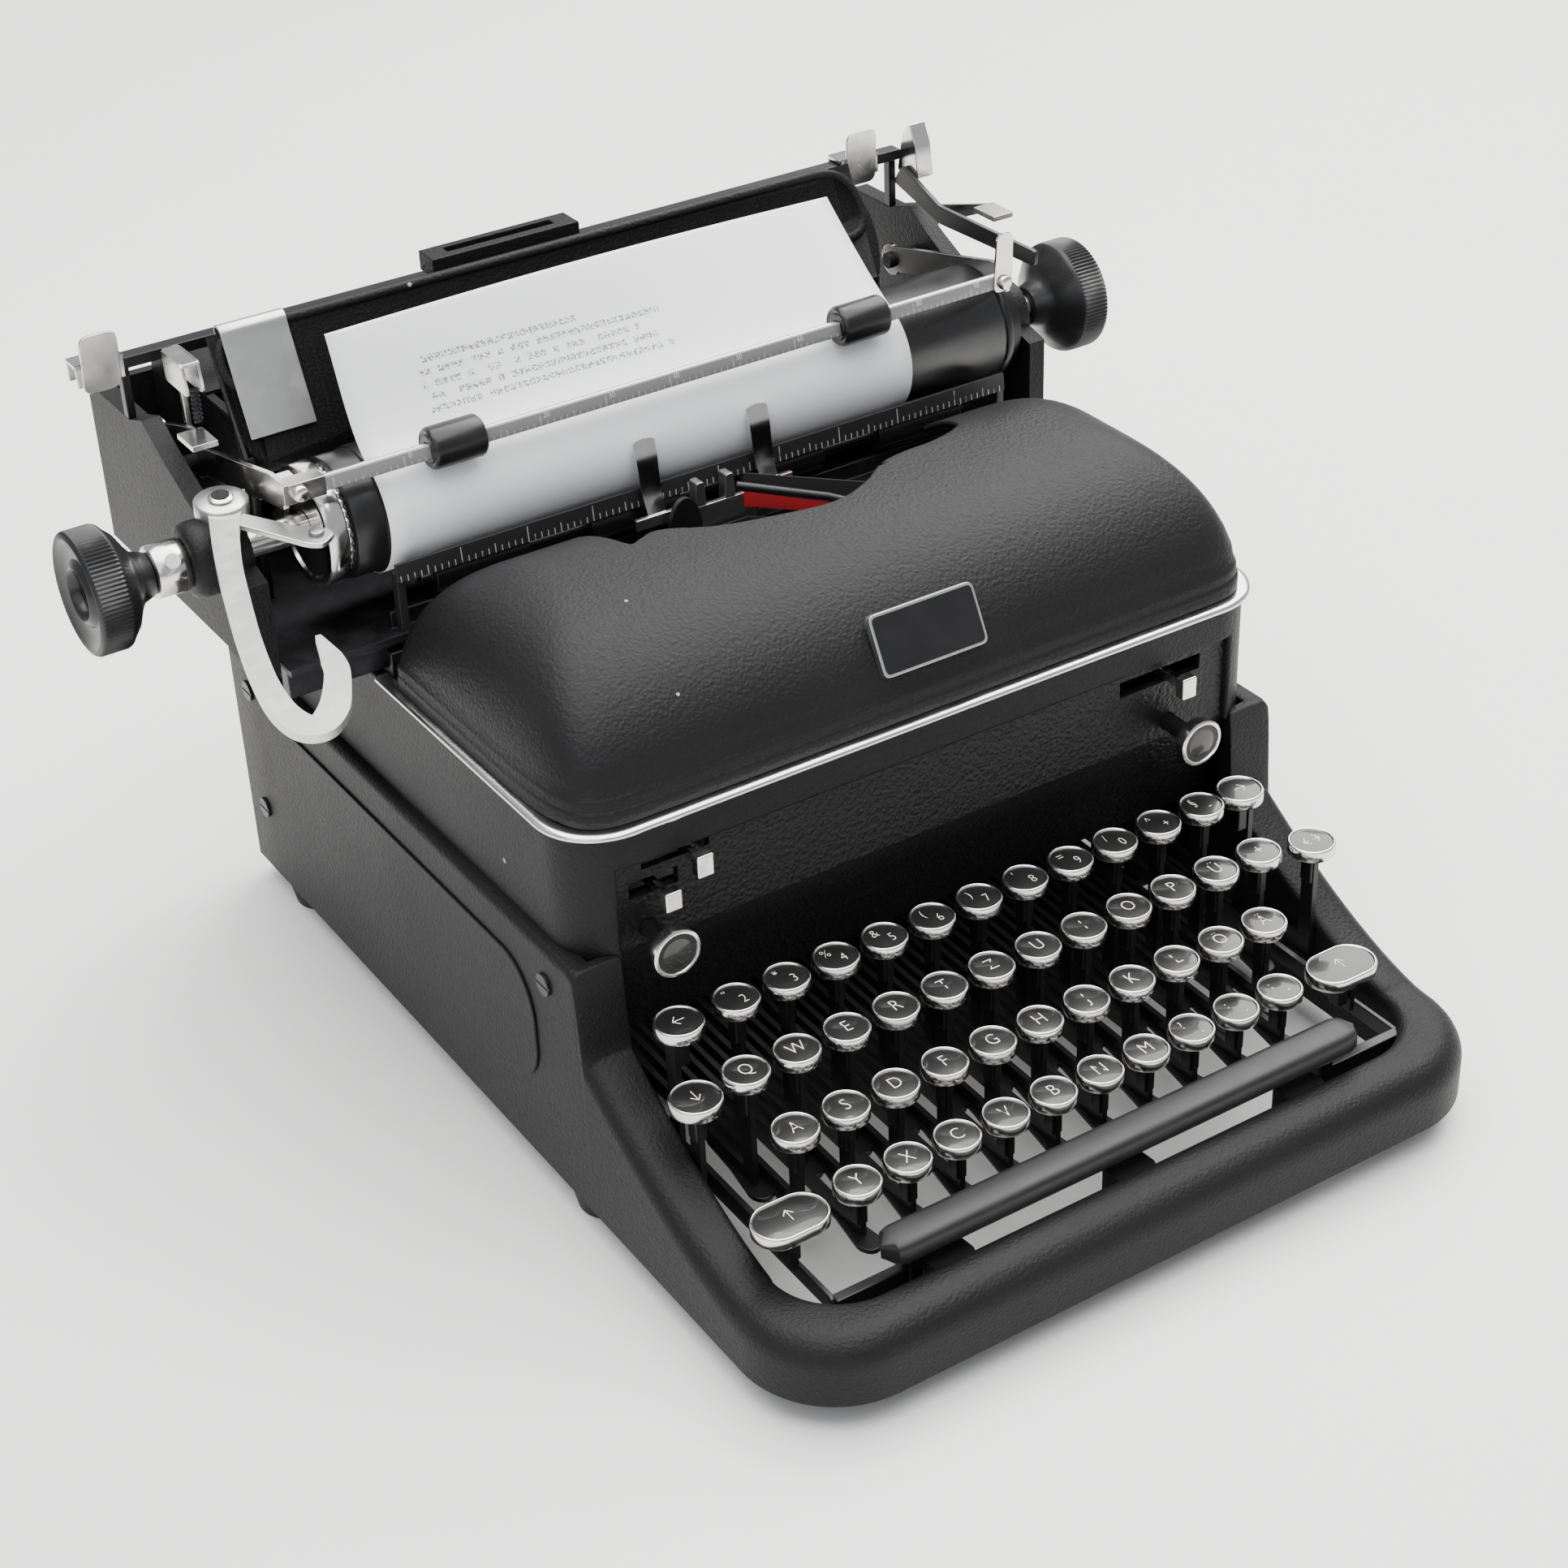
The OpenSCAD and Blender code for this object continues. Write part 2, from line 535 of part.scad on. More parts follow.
// The lever is drawn about its pivot, in its own sloping plane
module return_lever() color([0.78, 0.79, 0.8]) place()
    translate([return_pivot[0], return_pivot[1], return_z]) rotate([return_tilt, 0, 0]) difference() {
        union() {
            linear_extrude(3) {
                circle(9);
                polygon([[-7, 2], [-10, -10], [-37, -112], [-26, -112], [0, -18], [7, -3]]);
                difference() {
                    translate([-23, -118.5]) circle(14);
                    translate([-20, -112.5]) circle(7.5);
                    polygon([[-20, -112.5], [-50, -50], [10, -50], [10, -112.5]]);
                }
                polygon([[-12.6, -113], [-11.5, -104], [-10.4, -97], [-8.4, -85.5], [-5.6, -86.5], [-4.8, -98],
                    [-7, -108], [-9.5, -116]]);
            }
            linear_extrude(2) polygon([[-2, -5], [4, -8], [17, -23], [23, -27], [24.5, -34], [18, -39],
                [14, -36], [2, -16], [-4, -10]]);
        }
        translate([0, 0, -1]) cylinder(h = 6, r = return_pin_radius + running_gap);
    }

// ---- Paper bail ----
module bail_arm(x) difference() {
    union() {
        slab_x(x, x + 2) polygon([[bail_pivot_y + 2, bail_pivot_z - 5], [bail_y - 2, bail_z - 5],
            [bail_y - 4, bail_z + 4], [bail_y + 8, bail_z + 4], [bail_pivot_y + 2, bail_pivot_z + 5]]);
        rod_x([x + 1, bail_pivot_y, bail_pivot_z], 6, 2);
    }
    rod_x([x + 1, bail_pivot_y, bail_pivot_z], bail_pin_radius + running_gap, 10);
}
module bail_arms() color([0.8, 0.8, 0.8]) place() {
    bail_arm(bail_arm_left_x);
    bail_arm(bail_arm_right_x);
    block([bail_arm_left_x, bail_y - 3.4, bail_z - 3.4], [bail_bar_left_x, bail_y + 3.4, bail_z + 3.4]);
}
module bail_bar() color([0.6, 0.6, 0.6]) place()
    pin_x(bail_bar_left_x, bail_arm_right_x, bail_y, bail_z, bail_bar_radius);
module bail_roller(x) color([0.07, 0.07, 0.07]) place() difference() {
    rod_x([x, bail_y, bail_z], bail_roller_radius, 20);
    rod_x([x, bail_y, bail_z], bail_bar_radius + running_gap, 30);
}
module bail_roller_left() bail_roller(-99);
module bail_roller_right() bail_roller(63);

// ---- Platen ----
module platen_roller() color([0.06, 0.06, 0.06]) place() difference() {
    rod_x([0, platen_y, platen_z], platen_radius, platen_length);
    rod_x([0, platen_y, platen_z], shaft_radius, platen_length + 2);
}
knob_end = 4;                                // thickness of a knob's closed end
module shaft_core() pin_x(knob_left_x + knob_end, knob_right_x - knob_end, platen_y, platen_z, shaft_radius);
module platen_shaft() color([0.7, 0.7, 0.7]) place() {
    shaft_core();
    pin_x(knob_left_x + knob_width, knob_left_x + knob_width + 12, platen_y, platen_z, 9);
}
module knob(x) color([0.1, 0.1, 0.1]) place() difference() {
    union() {
        rod_x([x, platen_y, platen_z], knob_radius, knob_width - 2);
        rod_x([x, platen_y, platen_z], knob_radius - 2, knob_width);
    }
    shaft_core();
}
module knob_left() knob(knob_left_x + knob_width / 2);
module knob_right() knob(knob_right_x - knob_width / 2);
module ratchet_wheel() color([0.75, 0.75, 0.75]) place() difference() {
    union() {
        rod_x([-platen_length / 2 - 3, platen_y, platen_z], platen_radius - 1, 6);
        for (i = [0:31]) translate([-platen_length / 2 - 10, platen_y, platen_z]) rotate([i * 360 / 32, 0, 0])
            translate([0, 13, -0.8]) cube([4, 4.5, 1.6]);
        rod_x([-platen_length / 2 - 8, platen_y, platen_z], 14, 4);
    }
    rod_x([-platen_length / 2 - 5, platen_y, platen_z], shaft_radius, 20);
}
feed_reach = wrap_r + paper_thickness + gap + feed_radius;
module feed_rollers() color([0.15, 0.15, 0.15]) place()
    translate([-5, platen_y - feed_reach * sin(feed_angle), platen_z - feed_reach * cos(feed_angle)]) {
        for (x = [-90, -30, 30, 90]) rod_x([x, 0, 0], feed_radius, 36);
        rod_x([0, 0, 0], 2, 224);
    }

// ---- Keys ----
// A lever runs from the fulcrum rod to below its key and turns up into the key's stem
module key_lever(x, y, z) slab_x(x - lever_thickness / 2, x + lever_thickness / 2) difference() {
    union() {
        polygon([[y - stem_half, lever_z - 1], [y - stem_half, z - cap_height + stem_tip],
            [y + stem_half, z - cap_height + stem_tip], [y + stem_half, lever_z + lever_height],
            [fulcrum_y, lever_z + lever_height + 3], [fulcrum_y, lever_z]]);
        translate([fulcrum_y, fulcrum_z]) circle(fulcrum_boss);
    }
    translate([fulcrum_y, fulcrum_z]) circle(fulcrum_radius + running_gap);
}
// The socket under a key top, which is pressed on the tip of its stem
module stem_socket(x, y, z) let(w = lever_thickness / 2 + stem_fit, d = stem_half + stem_fit)
    block([x - w, y - d, z - cap_height - 1], [x + w, y + d, z - cap_height + stem_tip + stem_fit]);
module key_cap(lever_x, x, y, z, r) difference() {
    translate([x, y, z - cap_height]) cylinder(h = cap_height, r = r);
    stem_socket(lever_x, y, z);
}
module key_row(row) color([0.15, 0.15, 0.15]) place() for (i = [0:row[3] - 1]) {
    key_lever(row[2] + i * key_pitch, row[0], row[1]);
    key_cap(row[2] + i * key_pitch, row[2] + i * key_pitch, row[0], row[1], key_diameter / 2);
}
module number_row_keys() key_row(ROW_NUMBER);
module upper_row_keys() key_row(ROW_UPPER);
module home_row_keys() key_row(ROW_HOME);
module lower_row_keys() key_row(ROW_LOWER);
// A function key: its top may stand to one side of its lever
module single_key(lever_x, x, y, z, r = key_diameter / 2) color([0.15, 0.15, 0.15]) place() {
    key_lever(lever_x, y, z);
    key_cap(lever_x, x, y, z, r);
}
lock_lever_x = -well_half_w + lever_thickness / 2 + 0.7;
backspace_lever_x = lock_lever_x + lever_pitch;
shift_left_x = backspace_lever_x + lever_pitch;
space_left_x = shift_left_x + lever_pitch;
release_lever_x = well_half_w - lever_thickness / 2 - 0.7;
space_right_x = release_lever_x - lever_pitch;
tab_lever_x = space_right_x - lever_pitch;
shift_right_x = tab_lever_x - lever_pitch;
module backspace_key() single_key(backspace_lever_x, -116.5, ROW_NUMBER[0], ROW_NUMBER[1]);
module tabulator_key() single_key(tab_lever_x, 112.5, ROW_NUMBER[0], ROW_NUMBER[1]);
module margin_release_key() single_key(release_lever_x, 122.5, ROW_UPPER[0] - 7, ROW_UPPER[1] + 1);
module shift_lock_key() single_key(lock_lever_x, -122.5, ROW_UPPER[0] + 1.5, ROW_UPPER[1] - 3.5);
shift_z = ROW_LOWER[1] - 2;
shift_half_length = 4.5;
shift_radius = 8.5;
module shift_keys() color([0.15, 0.15, 0.15]) place()
    for (k = [[shift_left_x, -115.5], [shift_right_x, 108.5]]) {
    key_lever(k[0], front_row_y, shift_z);
    difference() {
        translate([k[1], front_row_y, shift_z - cap_height]) linear_extrude(cap_height) hull()
            for (s = [-1, 1]) translate([s * shift_half_length, 0]) circle(shift_radius);
        stem_socket(k[0], front_row_y, shift_z);
    }
}
space_low = 38;
space_y = 26.5;
space_half = 95;
space_arm_z = 24;
module space_bar() color([0.1, 0.1, 0.1]) place() {
    block([-space_half, space_y - 6, space_low], [space_half, space_y + 6, space_low + 8]);
    for (x = [space_left_x, space_right_x]) slab_x(x - 1, x + 1) difference() {
        union() {
            polygon([[space_y, space_arm_z], [space_y, space_arm_z + 6], [240, space_arm_z + 6],
                [fulcrum_y, fulcrum_z + 3], [fulcrum_y, fulcrum_z - 3], [240, space_arm_z]]);
            translate([fulcrum_y, fulcrum_z]) circle(fulcrum_boss);
        }
        translate([fulcrum_y, fulcrum_z]) circle(fulcrum_radius + running_gap);
    }
    block([space_left_x - 1, space_y, space_arm_z], [-82, space_y + 4, space_arm_z + 6]);
    block([82, space_y, space_arm_z], [space_right_x + 1, space_y + 4, space_arm_z + 6]);
    for (s = [-1, 1]) block([s * 84 - 2, space_y, space_arm_z], [s * 84 + 2, space_y + 4, space_low + eps]);
}

// ---- Small controls on the front panel ----
module panel_button(x) color([0.2, 0.2, 0.2]) place() {
    rod_y([x, panel_y - 18, 110.5], 8, 4);
    rod_y([x, panel_y - 15, 110.5], 3.2, 34);
}
module tab_clear_key() panel_button(-112);
module tab_set_key() panel_button(99);
module panel_slider(x, z, tip) color([0.75, 0.75, 0.75]) place() {
    block([x - 1.2, panel_y - 10, z - 2], [x + 1.2, panel_y + 16, z + 2]);
    block([x - 3, panel_y - 13, z - tip], [x + 3, panel_y - 9, z + tip]);
}
module colour_selector() panel_slider(97, 130.5, 4);
module touch_lever() panel_slider(-97, 134.6, 4);
module stencil_lever() panel_slider(-109, 126, 3.5);

body_shell();
front_panel();
side_plate_left();
side_plate_right();
trim_strip();
feet();
body_screws();
chassis();
carriage_rails();
key_fulcrum_rod();
type_guide();
ribbon();
ribbon_cover();
name_badge();
type_segment();
typebars();
ribbon_spool_left();
ribbon_spool_right();
mainspring_drum();
escapement_wheel();
carriage_beam();
end_casting_left();
end_casting_right();
paper_table();
paper_scale();
paper_sheet();
paper_guide();
paper_support();
margin_rack();
margin_stop_left();
margin_stop_right();
carriage_release_left();
carriage_release_right();
line_space_lever();
return_lever();
bail_arms();
bail_bar();
bail_roller_left();
bail_roller_right();
platen_roller();
platen_shaft();
knob_left();
knob_right();
ratchet_wheel();
number_row_keys();
upper_row_keys();
home_row_keys();
lower_row_keys();
shift_keys();
shift_lock_key();
backspace_key();
tabulator_key();
margin_release_key();
space_bar();
tab_set_key();
tab_clear_key();
colour_selector();
touch_lever();
stencil_lever();
feed_rollers();
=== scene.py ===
"""Looks of a manual desk typewriter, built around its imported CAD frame.

Lengths are in millimetres in the layout of the machine (x from the middle of the body, y from its
front face, z from the table) until Layout.place() turns them into metres in the shared frame.
"""
import logging
import math
from dataclasses import dataclass
from enum import Enum
from typing import Any, Dict, Iterable, List, Optional, Sequence, Tuple, Union

import bmesh
import bpy
import numpy as np
from mathutils import Matrix, Vector


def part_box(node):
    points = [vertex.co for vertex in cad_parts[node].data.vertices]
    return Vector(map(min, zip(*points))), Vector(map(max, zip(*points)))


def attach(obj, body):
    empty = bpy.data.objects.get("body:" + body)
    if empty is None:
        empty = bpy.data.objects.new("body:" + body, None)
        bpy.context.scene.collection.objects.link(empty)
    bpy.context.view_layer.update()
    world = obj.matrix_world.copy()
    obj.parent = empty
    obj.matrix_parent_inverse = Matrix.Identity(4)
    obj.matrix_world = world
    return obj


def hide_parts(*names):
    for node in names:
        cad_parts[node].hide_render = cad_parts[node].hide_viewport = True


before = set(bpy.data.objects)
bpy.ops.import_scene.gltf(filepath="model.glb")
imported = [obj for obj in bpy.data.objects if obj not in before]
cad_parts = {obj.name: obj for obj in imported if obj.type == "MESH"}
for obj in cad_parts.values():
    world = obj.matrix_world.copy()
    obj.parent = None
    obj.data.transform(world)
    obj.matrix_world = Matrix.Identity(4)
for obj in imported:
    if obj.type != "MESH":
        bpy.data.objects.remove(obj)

log = logging.getLogger("typewriter")
Array = np.ndarray
Faces = List[Sequence[int]]
Number = Union[float, int]

MM = 1000.0             # millimetres in a metre
PITCH = 2.54            # millimetres between typed characters
WELD = 2e-6             # metres within which points become one
FLAT_ANGLE = 1.5        # degrees within which the faces of a copied node are merged
EDGE_ANGLE = 40         # degrees from which an edge is rounded
EDGE_SEGMENTS = 3       # faces across a rounded edge


# ---------------------------------------------------------------- places and meshes

class Layout:
    """Turns the machine's layout in millimetres into metres in the shared frame."""

    def __init__(self) -> None:
        """Take the middle plane and the front face from the body casting's box."""
        low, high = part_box("body_shell")
        self.shift = np.array([(low[0] + high[0]) / 2, low[1], 0.0])

    def place(self, points: Array) -> Array:
        """Millimetres in the layout to metres in the frame: divide by a thousand and shift."""
        return np.asarray(points, float).reshape(-1, 3) / MM + self.shift


LAYOUT = Layout()


class Axis(Enum):
    """The direction that a turned or extruded shape runs along."""

    X = 0
    Y = 1
    Z = 2

    def swing(self, along: Array, a: Array, b: Array) -> Array:
        """Points from a length along the axis and two lengths across it, in cyclic order."""
        parts = {0: (along, a, b), 1: (b, along, a), 2: (a, b, along)}[self.value]
        return np.stack(np.broadcast_arrays(*parts), axis=-1)


def grid_faces(rows: int, cols: int, wrap_rows: bool = False, wrap_cols: bool = False,
               keep: Optional[Array] = None) -> Faces:
    """Quads of a grid of points, numbered row by row.

    Args:
        rows: number of rows of points.
        cols: number of points in a row.
        wrap_rows: join the last row to the first.
        wrap_cols: join the last column to the first.
        keep: optional mask of the quads that stay.

    Returns:
        A list of four-point faces.
    """
    i = np.arange(rows if wrap_rows else rows - 1)[:, None]
    j = np.arange(cols if wrap_cols else cols - 1)[None, :]
    i2, j2 = (i + 1) % rows, (j + 1) % cols
    quads = np.stack(np.broadcast_arrays(i * cols + j, i2 * cols + j, i2 * cols + j2, i * cols + j2), -1)
    if keep is not None:
        return quads[keep].tolist()
    return quads.reshape(-1, 4).tolist()


Part = Tuple[Array, Faces]


def join(parts: Iterable[Part]) -> Part:
    """Puts several shapes into one, with the faces renumbered."""
    verts, faces, base = [], [], 0
    for points, polygons in parts:
        points = np.asarray(points, float).reshape(-1, 3)
        verts.append(points)
        faces += [[k + base for k in polygon] for polygon in polygons]
        base += len(points)
    return np.concatenate(verts), faces


def turned(profile: Sequence[Tuple[Number, Number]], axis: Axis, centre: Sequence[Number], sides: int = 48,
           lobes: int = 0, depth: Number = 0.0) -> Part:
    """A shape turned on a lathe.

    Each profile point (length along the axis, radius) is carried round the axis. With lobes, the radius
    falls by depth times the square of half the sine of lobes times the angle, which makes a ribbed rim.

    Args:
        profile: points (length, radius) in millimetres.
        axis: the axis of turning.
        centre: the layout point that the lengths are measured from.
        sides: number of steps round.
        lobes: number of ribs round the rim, 0 for a smooth one.
        depth: depth of the ribs, on points at least 0.9 of the largest radius out.

    Returns:
        Points and faces.
    """
    table = np.asarray(profile, float)
    angle = np.linspace(0, 2 * math.pi, sides, endpoint=False)[None, :]
    along, radius = table[:, 0][:, None], table[:, 1][:, None]
    if lobes:
        outer = (radius > 0.9 * radius.max()).astype(float)
        radius = radius - outer * depth * np.sin(lobes * angle / 2) ** 2
    points = axis.swing(along + 0 * angle, radius * np.cos(angle), radius * np.sin(angle))
    return points + np.asarray(centre, float), grid_faces(len(table), sides, wrap_cols=True)


def plate(outline: Sequence[Tuple[Number, Number]], axis: Axis, start: Number, end: Number) -> Part:
    """A flat outline carried straight along an axis, with both ends closed.

    Args:
        outline: points across the axis, in its cyclic order (y, z for X; z, x for Y; x, y for Z).
        axis: the direction of the extrusion.
        start: where it starts along the axis.
        end: where it ends.

    Returns:
        Points and faces.
    """
    flat = np.asarray(outline, float)
    count = len(flat)
    rings = [axis.swing(np.full(count, float(s)), flat[:, 0], flat[:, 1]) for s in (start, end)]
    faces = grid_faces(2, count, wrap_cols=True)
    faces += [list(range(count)), list(range(2 * count - 1, count - 1, -1))]
    return np.concatenate(rings), faces


def slab(low: Sequence[Number], high: Sequence[Number]) -> Part:
    """A box between two corners, as a plate along Z."""
    (x0, y0, z0), (x1, y1, z1) = low, high
    return plate([(x0, y0), (x1, y0), (x1, y1), (x0, y1)], Axis.Z, z0, z1)


def tube(path: Array, radius: Number, sides: int = 10, up: Sequence[Number] = (0.13, 0.31, 0.94)) -> Part:
    """A round bar along a path, closed at both ends.

    At each path point the ring lies across the path's direction; its first half-axis is the cross product
    of the direction and a fixed up vector, its second is the cross product of the first and the direction.

    Args:
        path: points in millimetres.
        radius: radius of the bar.
        sides: number of points round.
        up: a vector that the path never runs along.

    Returns:
        Points and faces.
    """
    path = np.asarray(path, float)
    way = np.gradient(path, axis=0)
    way /= np.linalg.norm(way, axis=1, keepdims=True)
    side = np.cross(way, np.asarray(up, float))
    side /= np.linalg.norm(side, axis=1, keepdims=True)
    top = np.cross(side, way)
    angle = np.linspace(0, 2 * math.pi, sides, endpoint=False)
    ring = radius * (np.cos(angle)[None, :, None] * side[:, None]
                     + np.sin(angle)[None, :, None] * top[:, None])
    faces = grid_faces(len(path), sides, wrap_cols=True)
    last = (len(path) - 1) * sides
    faces += [list(range(sides)), list(range(last + sides - 1, last - 1, -1))]
    return (path[:, None] + ring).reshape(-1, 3), faces


def spring(centre: Sequence[Number], radius: Number, length: Number, turns: Number, wire: Number) -> Part:
    """A coil spring along Z: the path's angle grows evenly with its height."""
    t = np.linspace(0, 1, int(turns * 14) + 1)
    a = 2 * math.pi * turns * t
    path = np.stack([radius * np.cos(a), radius * np.sin(a), length * t], -1) + np.asarray(centre, float)
    return tube(path, wire, 6, up=(0.0, 0.0, 1.0))


def smooth_path(points: Sequence[Sequence[Number]], steps: int = 8) -> Array:
    """A Catmull-Rom curve through points: a cubic between each pair, worked out for all pairs at once."""
    p = np.asarray(points, float)
    p = np.concatenate([2 * p[:1] - p[1:2], p, 2 * p[-1:] - p[-2:-1]])
    t = np.linspace(0, 1, steps, endpoint=False)[None, :, None]
    a, b, c, d = p[:-3, None], p[1:-2, None], p[2:-1, None], p[3:, None]
    curve = 0.5 * (2 * b + (c - a) * t + (2 * a - 5 * b + 4 * c - d) * t ** 2
                   + (3 * b - a - 3 * c + d) * t ** 3)
    return np.concatenate([curve.reshape(-1, p.shape[1]), p[-2:-1]])


def rounded(points: Sequence[Tuple[Number, Number]], radius: Number,
            steps: int = 5) -> List[Tuple[float, float]]:
    """An outline with each corner replaced by a quadratic curve that starts radius before the corner."""
    p = np.asarray(points, float)
    before, after = np.roll(p, 1, 0) - p, np.roll(p, -1, 0) - p
    lb, la = np.linalg.norm(before, axis=1, keepdims=True), np.linalg.norm(after, axis=1, keepdims=True)
    cut = np.minimum(radius, 0.49 * np.minimum(lb, la))
    a, c = p + before / lb * cut, p + after / la * cut
    t = np.linspace(0, 1, steps)[None, :, None]
    curve = (1 - t) ** 2 * a[:, None] + 2 * t * (1 - t) * p[:, None] + t ** 2 * c[:, None]
    return [tuple(q) for q in curve.reshape(-1, 2)]


def turn_about(points: Array, axis: Axis, degrees: Number, centre: Sequence[Number]) -> Array:
    """Points turned by an angle about a line along an axis through a centre."""
    unit = [0.0, 0.0, 0.0]
    unit[axis.value] = 1.0
    matrix = np.array(Matrix.Rotation(math.radians(degrees), 3, Vector(unit)))
    centre = np.asarray(centre, float)
    return (np.asarray(points, float) - centre) @ matrix.T + centre


def make(name: str, shape: Part, body: str, finish: "Finish", replaces: Sequence[str] = (),
         bevel: Number = 0.0, wall: Number = 0.0, smooth: Number = 32.0,
         uv: Optional[Array] = None) -> bpy.types.Object:
    """Makes a piece: mesh, weld, outward normals, modifiers, finish and body.

    Args:
        name: the piece's name.
        shape: points in millimetres in the layout, and faces.
        body: the CAD body it rides on.
        finish: its finish.
        replaces: CAD nodes that it stands for.
        bevel: width of the rounded edges in millimetres.
        wall: thickness given to an open surface, inwards, in millimetres.
        smooth: edges sharper than this many degrees stay sharp.
        uv: one pair for each point, where the finish follows the surface.

    Returns:
        The new object.
    """
    points, faces = shape
    mesh = bpy.data.meshes.new(name)
    mesh.from_pydata(LAYOUT.place(points).tolist(), [], faces)
    if uv is not None:
        layer = mesh.uv_layers.new(name="UVMap")
        loops = np.empty(len(mesh.loops), int)
        mesh.loops.foreach_get("vertex_index", loops)
        layer.data.foreach_set("uv", np.asarray(uv, float)[loops].ravel())
    work = bmesh.new()
    work.from_mesh(mesh)
    bmesh.ops.remove_doubles(work, verts=work.verts, dist=WELD)
    bmesh.ops.recalc_face_normals(work, faces=work.faces)
    work.to_mesh(mesh)
    work.free()
    piece = bpy.data.objects.new(name, mesh)
    bpy.context.scene.collection.objects.link(piece)
    return dress(piece, body, finish, replaces, bevel, wall, smooth)


def dress(piece: bpy.types.Object, body: str, finish: "Finish", replaces: Sequence[str] = (),
          bevel: Number = 0.0, wall: Number = 0.0, smooth: Number = 32.0) -> bpy.types.Object:
    """Gives a new mesh object its shading, modifiers, finish and body, as make() describes."""
    mesh = piece.data
    mesh.polygons.foreach_set("use_smooth", np.ones(len(mesh.polygons), bool))
    mesh.set_sharp_from_angle(angle=math.radians(smooth))
    mesh.materials.clear()
    mesh.materials.append(finish.material())
    if wall:
        solid = piece.modifiers.new("wall", "SOLIDIFY")
        solid.thickness, solid.offset, solid.use_even_offset = wall / MM, -1.0, True
    if bevel:
        edge = piece.modifiers.new("edges", "BEVEL")
        edge.width, edge.segments, edge.limit_method = bevel / MM, EDGE_SEGMENTS, "ANGLE"
        edge.angle_limit, edge.harden_normals = math.radians(EDGE_ANGLE), True
        edge.use_clamp_overlap = True
    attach(piece, body)
    if replaces:
        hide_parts(*replaces)
    log.info("%s: %d faces on %s", piece.name, len(mesh.polygons), body)
    return piece


def refine(node: str, body: str, finish: "Finish", bevel: Number = 0.5) -> bpy.types.Object:
    """A merged copy of a CAD node with its edges rounded, which stands for the node.

    Args:
        node: the CAD node.
        body: its body.
        finish: its finish.
        bevel: width of the rounded edges in millimetres.

    Returns:
        The new object.
    """
    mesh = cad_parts[node].data.copy()
    mesh.name = node + "_fine"
    work = bmesh.new()
    work.from_mesh(mesh)
    bmesh.ops.remove_doubles(work, verts=work.verts, dist=WELD)
    bmesh.ops.dissolve_limit(work, angle_limit=math.radians(FLAT_ANGLE), verts=work.verts, edges=work.edges)
    work.to_mesh(mesh)
    work.free()
    piece = bpy.data.objects.new(node + "_fine", mesh)
    bpy.context.scene.collection.objects.link(piece)
    return dress(piece, body, finish, (node,), bevel)


def paint(node: str, finish: "Finish") -> None:
    """Gives a CAD node that stays as it is its finish."""
    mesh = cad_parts[node].data
    mesh.materials.clear()
    mesh.materials.append(finish.material())


# ---------------------------------------------------------------- shader expressions

class Sock:
    """A shader output that can be used in an expression, such as 1 - mask * 0.5."""

    def __init__(self, graph: "Graph", socket: bpy.types.NodeSocket) -> None:
        """Keep the graph that new nodes go into, and the output."""
        self.graph, self.socket = graph, socket

    def _math(self, kind: str, a: Any, b: Any) -> "Sock":
        """A Math node of a kind on two values."""
        return self.graph.node("ShaderNodeMath", {"operation": kind}, {0: a, 1: b})

    def __add__(self, other: Any) -> "Sock":
        """Sum."""
        return self._math("ADD", self, other)

    def __sub__(self, other: Any) -> "Sock":
        """Difference."""
        return self._math("SUBTRACT", self, other)

    def __rsub__(self, other: Any) -> "Sock":
        """Difference the other way round."""
        return self._math("SUBTRACT", other, self)

    def __mul__(self, other: Any) -> "Sock":
        """Product."""
        return self._math("MULTIPLY", self, other)

    def __truediv__(self, other: Any) -> "Sock":
        """Quotient."""
        return self._math("DIVIDE", self, other)

    def __gt__(self, other: Any) -> "Sock":
        """1 where this is greater, else 0."""
        return self._math("GREATER_THAN", self, other)

    def __lt__(self, other: Any) -> "Sock":
        """1 where this is less, else 0."""
        return self._math("LESS_THAN", self, other)

    __radd__ = __add__
    __rmul__ = __mul__

    def wrap(self, period: Any) -> "Sock":
        """The remainder after whole periods, always positive."""
        return self.graph.node("ShaderNodeMath", {"operation": "FLOORED_MODULO"}, {0: self, 1: period})

    def floor(self) -> "Sock":
        """The whole number below."""
        return self._math("FLOOR", self, 0.0)

    def clip(self, low: Number, high: Number) -> "Sock":
        """0 at low, 1 at high, smooth between."""
        return self.graph.node("ShaderNodeMapRange", {"interpolation_type": "SMOOTHSTEP"},
                               {"Value": self, "From Min": low, "From Max": high})


